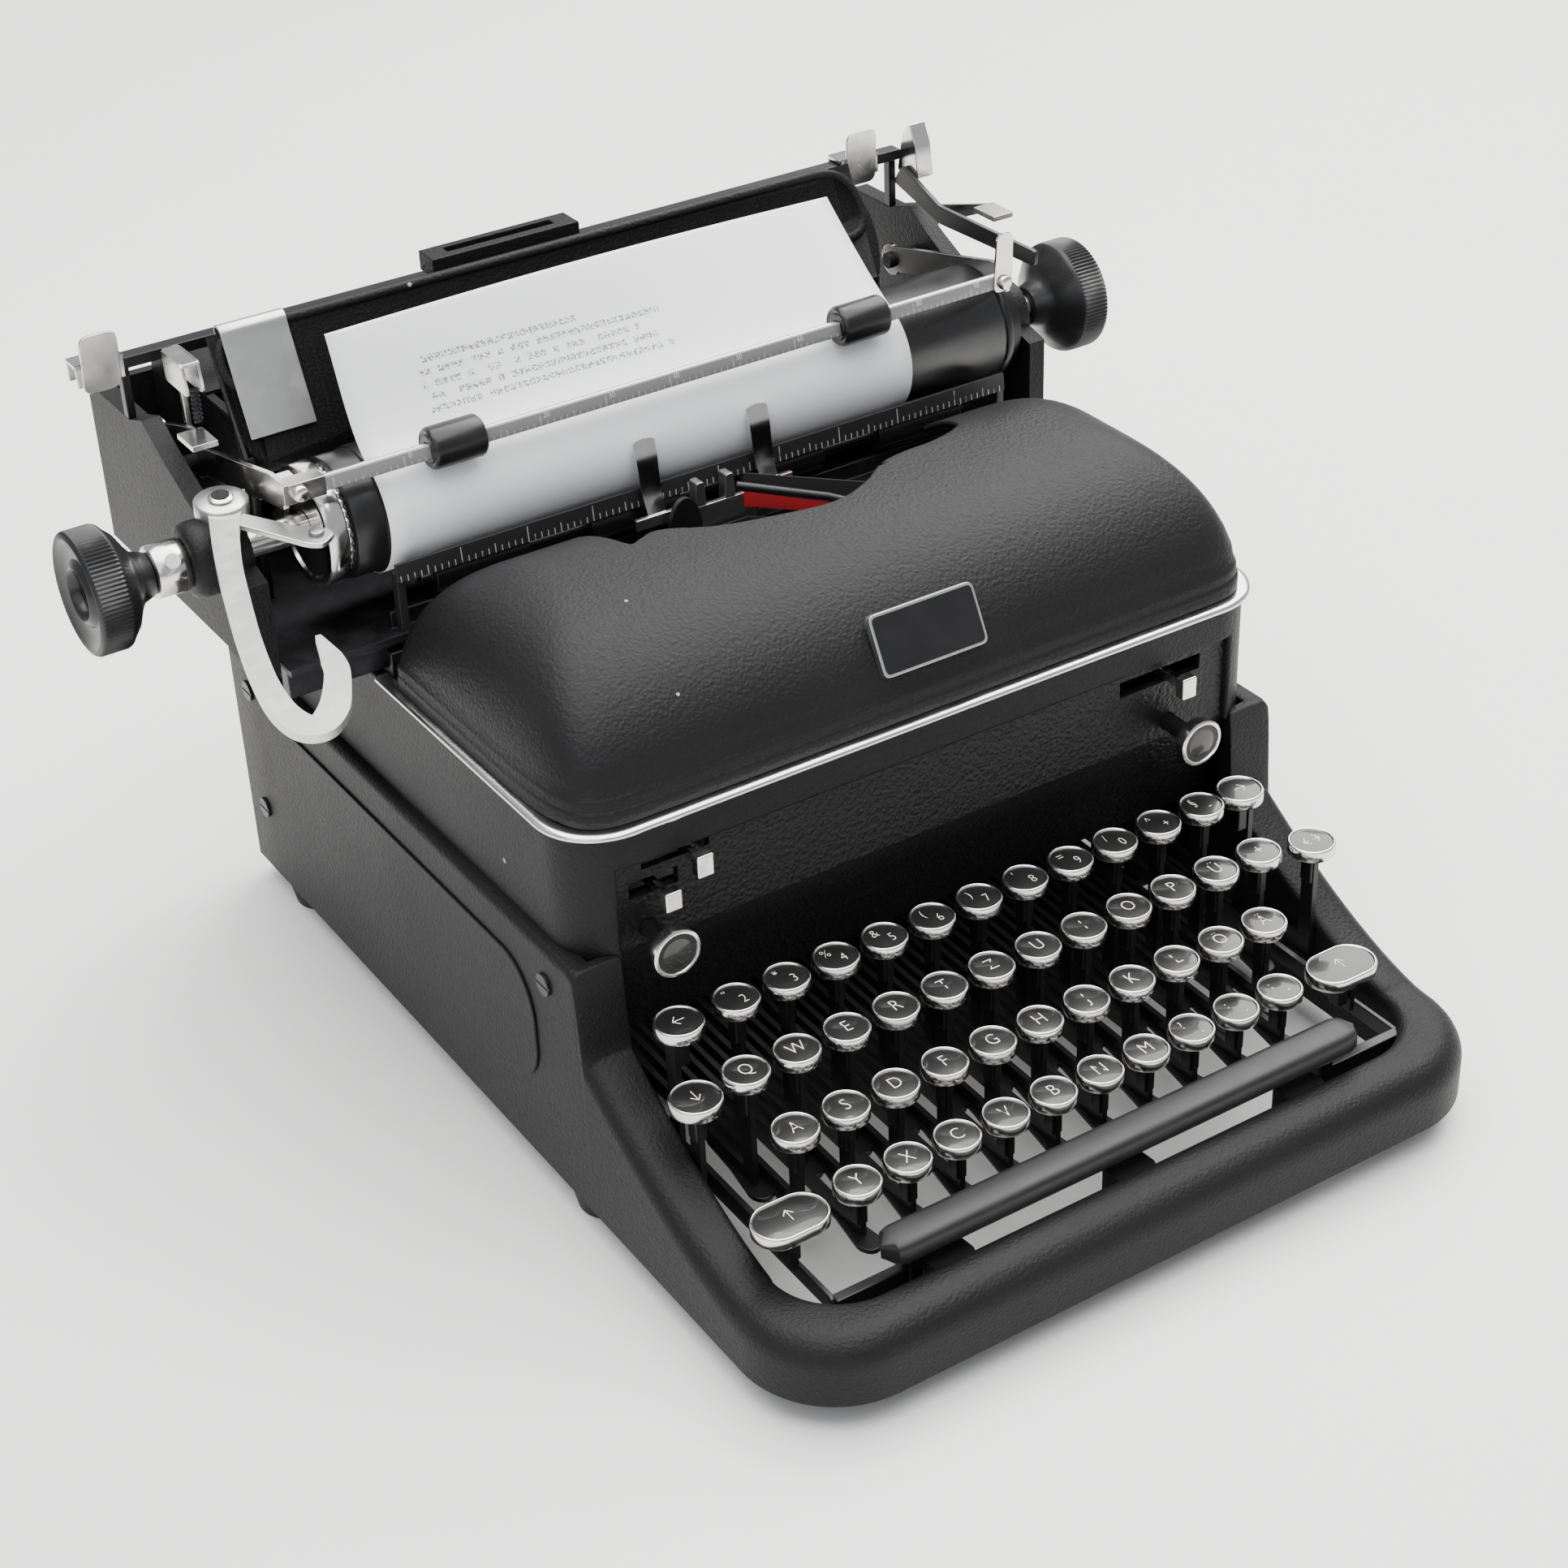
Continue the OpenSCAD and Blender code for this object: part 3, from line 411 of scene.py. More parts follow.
class Graph:
    """The node tree of one material, with its Principled shader."""

    def __init__(self, name: str) -> None:
        """Start a material with an empty tree."""
        self.mat = bpy.data.materials.new(name)
        self.mat.use_nodes = True
        self.tree = self.mat.node_tree
        self.tree.nodes.clear()
        self.shader = self.tree.nodes.new("ShaderNodeBsdfPrincipled")
        end = self.tree.nodes.new("ShaderNodeOutputMaterial")
        self.tree.links.new(self.shader.outputs[0], end.inputs["Surface"])

    def _feed(self, socket: bpy.types.NodeSocket, value: Any) -> None:
        """Link or set one input."""
        if isinstance(value, Sock):
            self.tree.links.new(value.socket, socket)
        elif isinstance(value, tuple) and len(value) == 3 and socket.type == "RGBA":
            socket.default_value = (*value, 1.0)
        else:
            socket.default_value = value

    def node(self, kind: str, settings: Optional[Dict[str, Any]] = None,
             inputs: Optional[Dict[Any, Any]] = None, output: Any = 0) -> Sock:
        """Adds any node.

        Args:
            kind: the node's type.
            settings: its properties, set first.
            inputs: values or links by socket name or number.
            output: name or number of the output to return.

        Returns:
            That output.
        """
        made = self.tree.nodes.new(kind)
        for key, value in (settings or {}).items():
            setattr(made, key, value)
        for key, value in (inputs or {}).items():
            self._feed(made.inputs[key], value)
        return Sock(self, made.outputs[output])

    def coords(self, output: str = "Object") -> Sock:
        """Object coordinates, in metres, or the piece's own UV map."""
        return self.node("ShaderNodeTexCoord", {}, {}, output)

    def noise(self, vector: Sock, scale: Number, detail: Number = 2.0, rough: Number = 0.5) -> Sock:
        """Noise from 0 to 1 with a scale in features per metre."""
        return self.node("ShaderNodeTexNoise", {}, {"Vector": vector, "Scale": scale, "Detail": detail,
                                                    "Roughness": rough})

    def mix(self, factor: Any, a: Any, b: Any) -> Sock:
        """A colour between two."""
        return self.node("ShaderNodeMix", {"data_type": "RGBA"}, {0: factor, 6: a, 7: b}, 2)

    def split(self, vector: Sock, part: int) -> Sock:
        """One coordinate of a vector."""
        return self.node("ShaderNodeSeparateXYZ", {}, {0: vector}, part)

    def bump(self, height: Sock, distance: Number, strength: Number = 1.0) -> None:
        """Feeds a height, scaled by a distance in metres, to the shader's normal."""
        self.set(Normal=self.node("ShaderNodeBump", {}, {"Height": height, "Distance": distance,
                                                         "Strength": strength}))

    def set(self, **values: Any) -> None:
        """Sets the shader's sockets; an underscore in a name stands for a space."""
        for key, value in values.items():
            self._feed(self.shader.inputs[key.replace("_", " ")], value)


# ---------------------------------------------------------------- finishes

_made: Dict["Finish", bpy.types.Material] = {}


@dataclass(frozen=True)
class Finish:
    """A named surface finish."""

    name: str
    colour: Tuple[float, float, float] = (0.03, 0.03, 0.03)
    rough: float = 0.4

    def material(self) -> bpy.types.Material:
        """The material of this finish, made once."""
        if self not in _made:
            graph = Graph(self.name)
            self.build(graph)
            _made[self] = graph.mat
        return _made[self]

    def shade(self, factor: float) -> Tuple[float, float, float]:
        """The finish's colour, made lighter or darker."""
        return tuple(min(1.0, c * factor) for c in self.colour)

    def build(self, graph: Graph) -> None:
        """Plain finish: slightly uneven colour and roughness."""
        cloud = graph.noise(graph.coords(), 60.0, 3.0)
        graph.set(Base_Color=graph.mix(cloud, self.shade(0.8), self.shade(1.25)),
                  Roughness=self.rough + (cloud - 0.5) * 0.15)


@dataclass(frozen=True)
class WrinklePaint(Finish):
    """Baked wrinkle enamel: rounded pebbles with fine creases between them, and a few chips."""

    grain: float = 0.0011
    relief: float = 0.00022
    chips: float = 0.0

    def build(self, graph: Graph) -> None:
        """Height is a smooth cell pattern bent by noise plus finer noise; tops are worn a little
        smoother."""
        at = graph.coords()
        drift = graph.node("ShaderNodeTexNoise", {},
                           {"Vector": at, "Scale": 0.5 / self.grain, "Detail": 1.0}, 1)
        bent = graph.node("ShaderNodeVectorMath", {"operation": "MULTIPLY_ADD"},
                          {0: drift, 1: (self.grain,) * 3, 2: at})
        cells = graph.node("ShaderNodeTexVoronoi", {"feature": "SMOOTH_F1"},
                           {"Vector": bent, "Scale": 1 / self.grain, "Smoothness": 1.0})
        fine = graph.noise(at, 1.6 / self.grain, 2.0)
        cloud = graph.noise(at, 18.0, 3.0)
        height = fine * 0.5 - cells * 0.9
        colour = graph.mix(cloud, self.shade(0.85), self.shade(1.2))
        if self.chips:
            spot = graph.node("ShaderNodeTexVoronoi", {}, {"Vector": at, "Scale": 38.0})
            rare = graph.noise(at, 9.0, 1.0)
            chip = (spot < 0.035 * self.chips) * (rare > 0.56)
            colour = graph.mix(chip, colour, (0.32, 0.31, 0.29))
        graph.set(Base_Color=colour, Roughness=self.rough + (cloud - 0.5) * 0.12 + (cells - 0.5) * 0.1,
                  Specular_IOR_Level=0.17)
        graph.bump(height, self.relief)


@dataclass(frozen=True)
class Metal(Finish):
    """Plated or bare metal with fine scratches and a little tarnish."""

    tarnish: float = 0.15
    brush: float = 0.25

    def build(self, graph: Graph) -> None:
        """Streaks are noise stretched along one axis; tarnish is a soft cloud that dulls and darkens."""
        at = graph.coords()
        long = graph.node("ShaderNodeMapping", {}, {"Vector": at, "Scale": (1.0, 7.0, 7.0)})
        streak = graph.noise(long, 700.0, 2.0, 0.6)
        cloud = graph.noise(at, 90.0, 4.0, 0.6).clip(0.45, 0.75)
        graph.set(Base_Color=graph.mix(cloud * self.tarnish * 2.5, self.colour, self.shade(0.45)),
                  Metallic=1.0, Roughness=self.rough + streak * self.brush * 0.3 + cloud * self.tarnish)
        graph.bump(streak, 0.00002, 0.35)


@dataclass(frozen=True)
class Gloss(Finish):
    """Smooth enamel, moulded plastic or rubber, with dust and light rubbing."""

    coat: float = 0.0
    relief: float = 0.00003

    def build(self, graph: Graph) -> None:
        """Two clouds vary roughness; a fine noise gives a faint orange peel."""
        at = graph.coords()
        cloud, fine = graph.noise(at, 45.0, 4.0, 0.6), graph.noise(at, 900.0, 2.0)
        graph.set(Base_Color=graph.mix(cloud.clip(0.4, 0.8), self.colour, self.shade(1.5)),
                  Roughness=self.rough + (cloud - 0.45) * 0.25, Coat_Weight=self.coat, Coat_Roughness=0.05,
                  Specular_IOR_Level=0.35)
        graph.bump(fine, self.relief, 0.5)


@dataclass(frozen=True)
class TypedPaper(Finish):
    """White paper with lines of small illegible marks from the typebars."""

    first: float = 0.0
    lines: int = 0
    left: float = 29.0

    def build(self, graph: Graph) -> None:
        """The UV map is in millimetres: u across, v along the sheet. A mark fills part of each typing cell
        where a fine noise is high; a coarse noise per cell leaves out the gaps between words."""
        uv = graph.coords("UV")
        u, v = graph.split(uv, 0), graph.split(uv, 1)
        fibre = graph.noise(graph.coords(), 220.0, 4.0, 0.6)
        line = (v - self.first) / 4.233
        row, column = line.floor(), (u / PITCH).floor()
        inside = (line > 0.0) * (line < float(self.lines))
        within = (line.wrap(1.0) > 0.2) * (line.wrap(1.0) < 0.72) * ((u / PITCH).wrap(1.0) > 0.16)
        cell = graph.node("ShaderNodeCombineXYZ", {}, {0: column * 0.731, 1: row * 3.37, 2: 0.5})
        word = graph.node("ShaderNodeTexWhiteNoise", {}, {"Vector": cell}) < 0.83
        margin = graph.node("ShaderNodeTexWhiteNoise", {"noise_dimensions": "1D"}, {"W": row * 1.7 + 4.0})
        end = u < self.left + 62.0 + margin * 34.0
        ink = graph.node("ShaderNodeTexNoise", {}, {"Vector": uv, "Scale": 1.25, "Detail": 1.0}) > 0.5
        marks = inside * within * word * (u > self.left) * end * ink
        paper = graph.mix(fibre, self.shade(0.985), self.shade(1.0))
        graph.set(Base_Color=graph.mix(marks * 0.8, paper, (0.05, 0.055, 0.08)),
                  Roughness=self.rough + fibre * 0.1)
        graph.bump(fibre, 0.00004, 0.5)


@dataclass(frozen=True)
class Ticked(Finish):
    """A dark scale with pale ticks a tenth of an inch apart."""

    start: float = 0.0
    marks: Tuple[float, float, float] = (0.45, 0.45, 0.43)
    low: float = 0.0
    high: float = 1.0

    def build(self, graph: Graph) -> None:
        """A tick shows where the remainder of x over the pitch is small, up to a height that is greater at
        every fifth and tenth tick."""
        at = graph.coords()
        x = (graph.split(at, 0) * MM - self.start) / PITCH + 0.06
        z = (graph.split(at, 2) * MM - self.low) / (self.high - self.low)
        tenth = (x.wrap(10.0) < 1.0) * 0.3
        fifth = (x.wrap(5.0) < 1.0) * 0.14
        tick = (x.wrap(1.0) < 0.14) * (z < tenth + fifth + 0.34) * (z > 0.04)
        wear = graph.noise(at, 400.0, 3.0)
        graph.set(Base_Color=graph.mix(tick * wear.clip(0.25, 0.5), self.colour, self.marks),
                  Roughness=self.rough + wear * 0.2, Metallic=0.35)
        graph.bump(wear, 0.00002, 0.5)


@dataclass(frozen=True)
class TwoColour(Finish):
    """An inked ribbon, black above and red below, with a fine weave."""

    split_z: float = 0.16

    def build(self, graph: Graph) -> None:
        """Colour changes at a height; two crossed waves make the weave."""
        at = graph.coords()
        z = graph.split(at, 2)
        upper = (z - self.split_z).clip(-0.0002, 0.0002)
        weave = graph.noise(at, 2500.0, 1.0)
        graph.set(Base_Color=graph.mix(upper, (0.35, 0.008, 0.012), (0.012, 0.012, 0.014)),
                  Roughness=self.rough + weave * 0.2)
        graph.bump(weave, 0.00004, 0.6)


@dataclass(frozen=True)
class RibbonSlant(Finish):
    """The run of ribbon between the guide and the right spool: red below, black above, along a slope."""

    def build(self, graph: Graph) -> None:
        """The border falls with x as the ribbon does."""
        at = graph.coords()
        rise = graph.split(at, 2) * MM + graph.split(at, 0) * 212.0
        middle = 181.5 + 3.0 * 0.212 + LAYOUT.shift[0] * 212.0
        weave = graph.noise(at, 2500.0, 1.0)
        graph.set(Base_Color=graph.mix(rise > float(middle), (0.42, 0.008, 0.014), (0.010, 0.010, 0.012)),
                  Roughness=self.rough + weave * 0.2)
        graph.bump(weave, 0.00004, 0.6)


PAINT = WrinklePaint("wrinkle_body", (0.0065, 0.0065, 0.007), 0.52, 0.0011, 0.00022, 1.0)
PAINT_FINE = WrinklePaint("wrinkle_cover", (0.0065, 0.0065, 0.007), 0.52, 0.0013, 0.00026, 0.7)
PAINT_PANEL = WrinklePaint("wrinkle_panel", (0.008, 0.008, 0.0085), 0.38, 0.0016, 0.00040)
ENAMEL = Gloss("black_enamel", (0.006, 0.006, 0.0065), 0.34)
DARK_STEEL = Metal("dark_steel", (0.055, 0.055, 0.06), 0.38, 0.3, 0.4)
STEEL = Metal("frame_steel", (0.24, 0.24, 0.25), 0.34, 0.3, 0.4)
NICKEL = Metal("bright_nickel", (0.68, 0.67, 0.65), 0.12, 0.14, 0.25)
SATIN = Metal("satin_nickel", (0.56, 0.56, 0.55), 0.24, 0.14, 0.5)
STRIP = Metal("strip_nickel", (0.70, 0.70, 0.69), 0.13, 0.06, 0.4)
BRASS = Metal("brass", (0.60, 0.44, 0.20), 0.30, 0.3, 0.3)
RUBBER = Gloss("platen_rubber", (0.006, 0.006, 0.0065), 0.30)
FEET = Gloss("feet_rubber", (0.016, 0.016, 0.016), 0.75)
PLASTIC = Gloss("knob_plastic", (0.007, 0.007, 0.0075), 0.34, 0.1)
KEY_FACE = Gloss("key_face", (0.008, 0.008, 0.008), 0.30, 0.5, 0.00001)
LEGEND = Finish("legend", (0.78, 0.72, 0.56), 0.4)
FELT = Gloss("felt_pad", (0.006, 0.006, 0.006), 0.95, 0.0, 0.0006)
PAPER = TypedPaper("typed_paper", (0.80, 0.81, 0.825), 0.6, 20.0, 5)
RIBBON = TwoColour("ribbon_cloth", (0, 0, 0), 0.7, 0.1655)
LETTERS = Finish("scale_figures", (0.74, 0.74, 0.70), 0.5)


# ---------------------------------------------------------------- body

@dataclass
class BodyCasting:
    """The cast body: the lower ring round the keyboard, the upper walls, and what is fixed to them."""

    half: float = 142.5
    depth: float = 395.0
    foot: float = 9.5
    corner: float = 35.0
    well_half: float = 124.5
    bar: float = 20.0
    well_corner: float = 24.0
    bar_top: float = 34.0
    post_y: float = 127.3
    shoulder: float = 106.0
    upper_half: float = 138.0
    upper_corner: float = 20.0
    deck: float = 149.5
    band: float = 137.0

    def arm_top(self, y: Array) -> Array:
        """Height of the arms: a power curve from the bar to 75 mm, then a steep smooth rise to the
        shoulder."""
        rise = self.bar_top + 41.0 * np.clip((y - 35.0) / 92.3, 0, 1) ** 1.57
        t = np.clip((y - self.post_y + 3.2) / 3.4, 0, 1)
        return rise + (self.shoulder - rise) * t * t * (3 - 2 * t)

    def lower_ring(self) -> Part:
        """A profile carried round the plan. Each station has an outer and an inner plan point and a height;
        the profile is a wall, an outer arc, a flat top, an inner arc and a wall, closed below."""
        y = np.concatenate([np.linspace(self.depth - 6, self.post_y + 4, 14),
                            np.linspace(self.post_y + 3, self.post_y - 4, 15),
                            np.linspace(self.post_y - 7, self.corner, 26)])
        well = y < self.post_y + 3.3
        outer = np.stack([np.full_like(y, -self.half), y], -1)
        # The inner outline turns round its own corner while the outer one turns round the larger
        wc = self.well_corner
        inner_y = np.maximum(y, self.bar + wc)
        inner = np.stack([np.where(well, -self.well_half, -134.0), inner_y], -1)
        angle = np.radians(np.linspace(180, 270, 19)[1:])
        turn_out = np.stack([-self.half + self.corner + self.corner * np.cos(angle),
                             self.corner + self.corner * np.sin(angle)], -1)
        turn_in = np.stack([-self.well_half + wc + wc * np.cos(angle), self.bar + wc + wc * np.sin(angle)],
                           -1)
        x = np.linspace(-self.half + self.corner, 0, 12)[1:]
        front_out = np.stack([x, 0 * x], -1)
        front_in = np.stack([np.linspace(-self.well_half + wc, 0, 12)[1:], 0 * x + self.bar], -1)
        back_x = np.array([0.0, -60.0, -120.0, -136.0, -140.8, -142.5])
        back_y = self.depth - np.array([0.0, 0.0, 0.0, 0.0, 1.7, 6.0])
        back_out = np.stack([back_x, back_y], -1)
        back_in = np.stack([np.clip(back_x, -134.0, 0), np.full(6, self.depth - 6.5)], -1)
        half_out = np.concatenate([back_out, outer[1:], turn_out, front_out])
        half_in = np.concatenate([back_in, inner[1:], turn_in, front_in])
        mirror = np.array([-1.0, 1.0])
        out = np.concatenate([half_out, (half_out * mirror)[-2:0:-1]])
        into = np.concatenate([half_in, (half_in * mirror)[-2:0:-1]])
        top = self.arm_top(out[:, 1])
        round_out = np.interp(out[:, 1], [0, 60, self.post_y - 4, self.post_y + 3], [10.5, 8.5, 7.0, 3.2])
        round_in = np.interp(out[:, 1], [0, 60, self.post_y + 3], [4.0, 3.5, 1.0])
        way = into - out
        width = np.linalg.norm(way, axis=1, keepdims=True)
        way /= width
        a = np.radians(np.linspace(0, 90, 9))
        steps, heights = [], []
        for inset, z in ((1.2, 0 * top + self.foot), (0.0, 0 * top + self.foot + 1.4)):
            steps.append(0 * top + inset)
            heights.append(z)
        for k in a:
            steps.append(round_out * (1 - math.cos(k)))
            heights.append(top - round_out * (1 - math.sin(k)))
        w = width[:, 0]
        steps.append(w * 0.55)
        heights.append(top + 0.25)
        for k in np.radians(np.linspace(90, 0, 6)):
            steps.append(w - round_in * (1 - math.cos(k)))
            heights.append(top - round_in * (1 - math.sin(k)))
        steps += [w, w - 1.0]
        heights += [0 * top + self.foot + 1.2, 0 * top + self.foot]
        step, height = np.stack(steps, 1), np.stack(heights, 1)
        plan = out[:, None] + way[:, None] * step[..., None]
        points = np.concatenate([plan, height[..., None]], -1)
        return points.reshape(-1, 3), grid_faces(len(out), step.shape[1], True, True)

    def upper_outline(self, half: float, front: float, corner: float) -> Array:
        """Plan outline of the upper body from the middle of the back, round the left, to the middle
        again."""
        a = np.radians(np.linspace(180, 270, 13))
        side = np.array([[0, self.depth], [-half + 5, self.depth], [-half + 1.5, self.depth - 1.5],
                         [-half, self.depth - 5]])
        y = np.linspace(self.depth - 20, front + corner + 4, 12)
        arc = np.stack([-half + corner + corner * np.cos(a), front + corner + corner * np.sin(a)], -1)
        x = np.array([-self.well_half + 3, -self.well_half, -self.well_half + 3.5, -90.0, -45.0, 0.0])
        x = x[x > -half + corner]
        bar = np.stack([x, 0 * x + front], -1)
        left = np.concatenate([side, np.stack([0 * y - half, y], -1), arc, bar])
        return np.concatenate([left, (left * [-1, 1])[-2:0:-1]])

    def upper_walls(self) -> Part:
        """The plan outline carried up in levels, with the faces in front of the well left out below
        the band."""
        plan = self.upper_outline(self.upper_half, self.post_y, self.upper_corner)
        levels = np.array([self.shoulder - 3, self.shoulder + 10, self.band - 8, self.band, self.band + 5,
                           self.deck])
        points = np.concatenate([np.broadcast_to(plan[None], (len(levels), len(plan), 2)),
                                 np.broadcast_to(levels[:, None, None], (len(levels), len(plan), 1))], -1)
        middle = (plan + np.roll(plan, -1, 0)) / 2
        front = (middle[:, 1] < self.post_y + 0.5) & (np.abs(middle[:, 0]) < self.well_half)
        keep = ~(front[None, :] & (levels[1:, None] <= self.band))
        return points.reshape(-1, 3), grid_faces(len(levels), len(plan), wrap_cols=True, keep=keep)

    def strip(self) -> Part:
        """The bright strip: a half-round profile carried round the plan as far as the cover reaches."""
        plan = self.upper_outline(self.upper_half, self.post_y, self.upper_corner)
        plan = np.roll(plan, len(plan) // 2, 0)
        plan = plan[plan[:, 1] < 258.0]
        order = np.argsort(np.unwrap(np.arctan2(plan[:, 1] - 258.0, plan[:, 0])))
        plan = plan[order]
        plan = np.concatenate([[[-self.upper_half, 257.0]], plan, [[self.upper_half, 257.0]]])
        plan = plan[np.concatenate([[True], np.linalg.norm(np.diff(plan, axis=0), axis=1) > 0.4])]
        way = np.gradient(plan, axis=0)
        normal = np.stack([way[:, 1], -way[:, 0]], -1)
        normal /= np.linalg.norm(normal, axis=1, keepdims=True)
        a = np.radians(np.linspace(-90, 90, 9))
        out = np.concatenate([[-2.0], 0.4 + 2.4 * np.cos(a), [-2.0]])
        z = np.concatenate([[self.deck], self.deck + 1.5 + 1.5 * np.sin(a), [self.deck + 3.0]])
        points = np.concatenate([plan[:, None] + normal[:, None] * out[None, :, None],
                                 np.broadcast_to(z[None, :, None], (len(plan), len(z), 1))], -1)
        faces = grid_faces(len(plan), len(z), wrap_cols=True)
        last = (len(plan) - 1) * len(z)
        faces += [list(range(len(z))), list(range(last + len(z) - 1, last - 1, -1))]
        return points.reshape(-1, 3), faces

    def build(self) -> None:
        """Makes the castings, the strip, the side plates and the feet, and dresses the frame inside."""
        make("lower_casting", self.lower_ring(), "body", PAINT, ["body_shell"])
        make("upper_casting", self.upper_walls(), "body", PAINT, ["body_shell"], bevel=1.4,
             wall=4.0)
        make("strip_bright", self.strip(), "body", STRIP, ["trim_strip"], smooth=50)
        for node in ("side_plate_left", "side_plate_right"):
            refine(node, "body", PAINT, 0.6)
        refine("body_screws", "body", ENAMEL, 0.25)
        refine("feet", "body", FEET, 0.8)
        refine("front_panel", "body", PAINT_PANEL, 0.5)
        refine("carriage_rails", "body", DARK_STEEL, 0.4)
        refine("chassis", "body", ENAMEL, 0.3)
        paint("key_fulcrum_rod", STEEL)


@dataclass
class RibbonCover:
    """The hinged cover: a dome whose plan is a squared superellipse, with steps at its foot."""

    half: float = 138.0
    front: float = 128.3
    low: float = 152.8
    crest: float = 200.0
    crest_y: float = 206.0
    rear_y: float = 244.0
    rear_z: float = 187.0
    side_reach: float = 42.0
    square: float = 5.6
    cut: Tuple[Tuple[float, float], ...] = (
        (-71.5, 244), (-70, 222), (-67, 208), (-62, 209), (-54, 211), (-37, 201.5), (-17, 196.3),
        (4, 193.4), (20, 198.7), (32, 207), (43, 210), (56, 211), (68, 215), (74, 222), (75.5, 244))

    def top(self, y: Array) -> Array:
        """Height of the crest line: level up to the crest, then a parabola down to the rear edge."""
        fall = np.clip((y - self.crest_y) / (self.rear_y - self.crest_y), 0, 1)
        return self.crest - (self.crest - self.rear_z) * fall ** 2

    def cut_edge(self, x: Array) -> Array:
        """Y of the rear edge: full depth outside the opening, a smooth path round the type guide
        inside it."""
        path = smooth_path(self.cut, 8)
        return np.interp(x, path[:, 0], path[:, 1], self.rear_y, self.rear_y)

    def columns(self) -> Array:
        """X of the front columns, closer together at the ends of the cut-out."""
        first, last = self.cut[0][0], self.cut[-1][0]
        c = np.cos(np.linspace(math.pi, 0, 81)) * (last - first) / 2 + (first + last) / 2
        edge = self.half - self.side_reach
        return np.concatenate([np.linspace(-edge, first - 0.3, 5), c, np.linspace(last + 0.3, edge, 5)])

    def shell(self) -> Part:
        """Rows run from the foot to the ridge. A row's place inwards is s; its plan point is a superellipse
        corner of size 1 - s, and its height is (1 - (1 - s)^2.6)^0.5 of the crest, after three small
        steps."""
        foot = np.array([[0, 0], [0, 4.0], [0.006, 4.9], [0.011, 5.2], [0.011, 8.2], [0.018, 9.2],
                         [0.024, 9.6]])
        s = np.concatenate([foot[:, 0], 1 - (1 - np.linspace(0.036, 1, 34)) ** 1.35 * (1 - 0.036) ** -0.35])
        s[-1] = 1.0
        theta = np.linspace(0, math.pi / 2, 17)
        across = np.cos(theta) ** (2 / self.square)
        beside = np.sin(theta) ** (2 / self.square)
        xs = self.columns()
        ys = np.linspace(self.crest_y, self.rear_y, 9)
        edge, reach = self.half - self.side_reach, self.crest_y - self.front
        left = np.stack([0 * ys - edge, ys, 0 * ys, 0 * ys + 1], -1)[::-1]
        corner_l = np.stack([0 * theta - edge, 0 * theta + self.crest_y, across, beside], -1)[::-1]
        front = np.stack([xs, 0 * xs + self.crest_y, 0 * xs + 1, 0 * xs], -1)
        corner_r = np.stack([0 * theta + edge, 0 * theta + self.crest_y, across, beside], -1)
        right = np.stack([0 * ys + edge, ys, 0 * ys, 0 * ys + 1], -1)
        spine = np.concatenate([left, corner_l[1:-1], front, corner_r[1:-1], right])
        sign = np.sign(spine[:, 0] + 1e-9) * (spine[:, 3] > 1e-6)
        # Where the opening reaches in front of the crest, the rows close up and stop at its edge
        stop = np.where(spine[:, 2] * (np.abs(spine[:, 0]) < edge) > 0,
                        1 - (self.crest_y - self.cut_edge(spine[:, 0])) / reach, 1)
        close = (np.clip(stop, 0, 1) - s[6]) / (1 - s[6])
        s = np.where(np.arange(len(s))[:, None] > 6, s[6] + (s[:, None] - s[6]) * close, s[:, None])
        share = np.sqrt(1 - (1 - s) ** 2.6)
        x = spine[None, :, 0] + sign[None] * self.side_reach * spine[None, :, 3] * (1 - s)
        y = spine[None, :, 1] - reach * spine[None, :, 2] * (1 - s)
        z = self.low + share * (self.top(spine[:, 1]) - self.low)
        z[:7] = self.low + foot[:, 1][:, None]
        hull = np.stack([x, y, z], -1)
        t = np.linspace(0, 1, 9)[:, None]
        end = self.cut_edge(xs)
        py = self.crest_y + t * (end[None] - self.crest_y)
        deck = np.stack([np.broadcast_to(xs[None], py.shape), py, self.top(py)], -1)
        behind = end > self.crest_y + 0.05
        keep = np.broadcast_to(behind[None, 1:] & behind[None, :-1], (len(t) - 1, len(xs) - 1))
        return join([(hull, grid_faces(*hull.shape[:2])), (deck, grid_faces(*deck.shape[:2], keep=keep))])

    def badge(self) -> Tuple[Part, Part]:
        """A blank plate with a thin raised border, both rounded outlines, laid on the cover's front."""
        def lay(part: Part) -> Part:
            """Tilts a shape drawn flat onto the cover's slope."""
            points = turn_about(part[0], Axis.X, 62.0, (0, 0, 0)) + np.array([0.0, 134.9, 178.5])
            return points, part[1]
        rim = rounded([(-20.5, -10.5), (20.5, -10.5), (20.5, 10.5), (-20.5, 10.5)], 2.6)
        face = rounded([(-19.6, -9.6), (19.6, -9.6), (19.6, 9.6), (-19.6, 9.6)], 2.0)
        return lay(plate(rim, Axis.Z, -2.0, 1.0)), lay(plate(face, Axis.Z, 0.2, 1.15))

    def build(self) -> None:
        """Makes the cover and its blank badge."""
        make("cover_shell", self.shell(), "cover", PAINT_FINE, ["ribbon_cover"], wall=2.4,
             smooth=40)
        rim, face = self.badge()
        make("badge_rim", rim, "cover", SATIN, ["name_badge"], bevel=0.3)
        make("badge_face", face, "cover", ENAMEL, bevel=0.2)


# ---------------------------------------------------------------- keyboard

@dataclass
class KeyTop:
    """One key top: its place, its half length beyond the round, and its legend."""

    x: float
    y: float
    z: float
    text: str = ""
    radius: float = 7.9
    stretch: float = 0.0


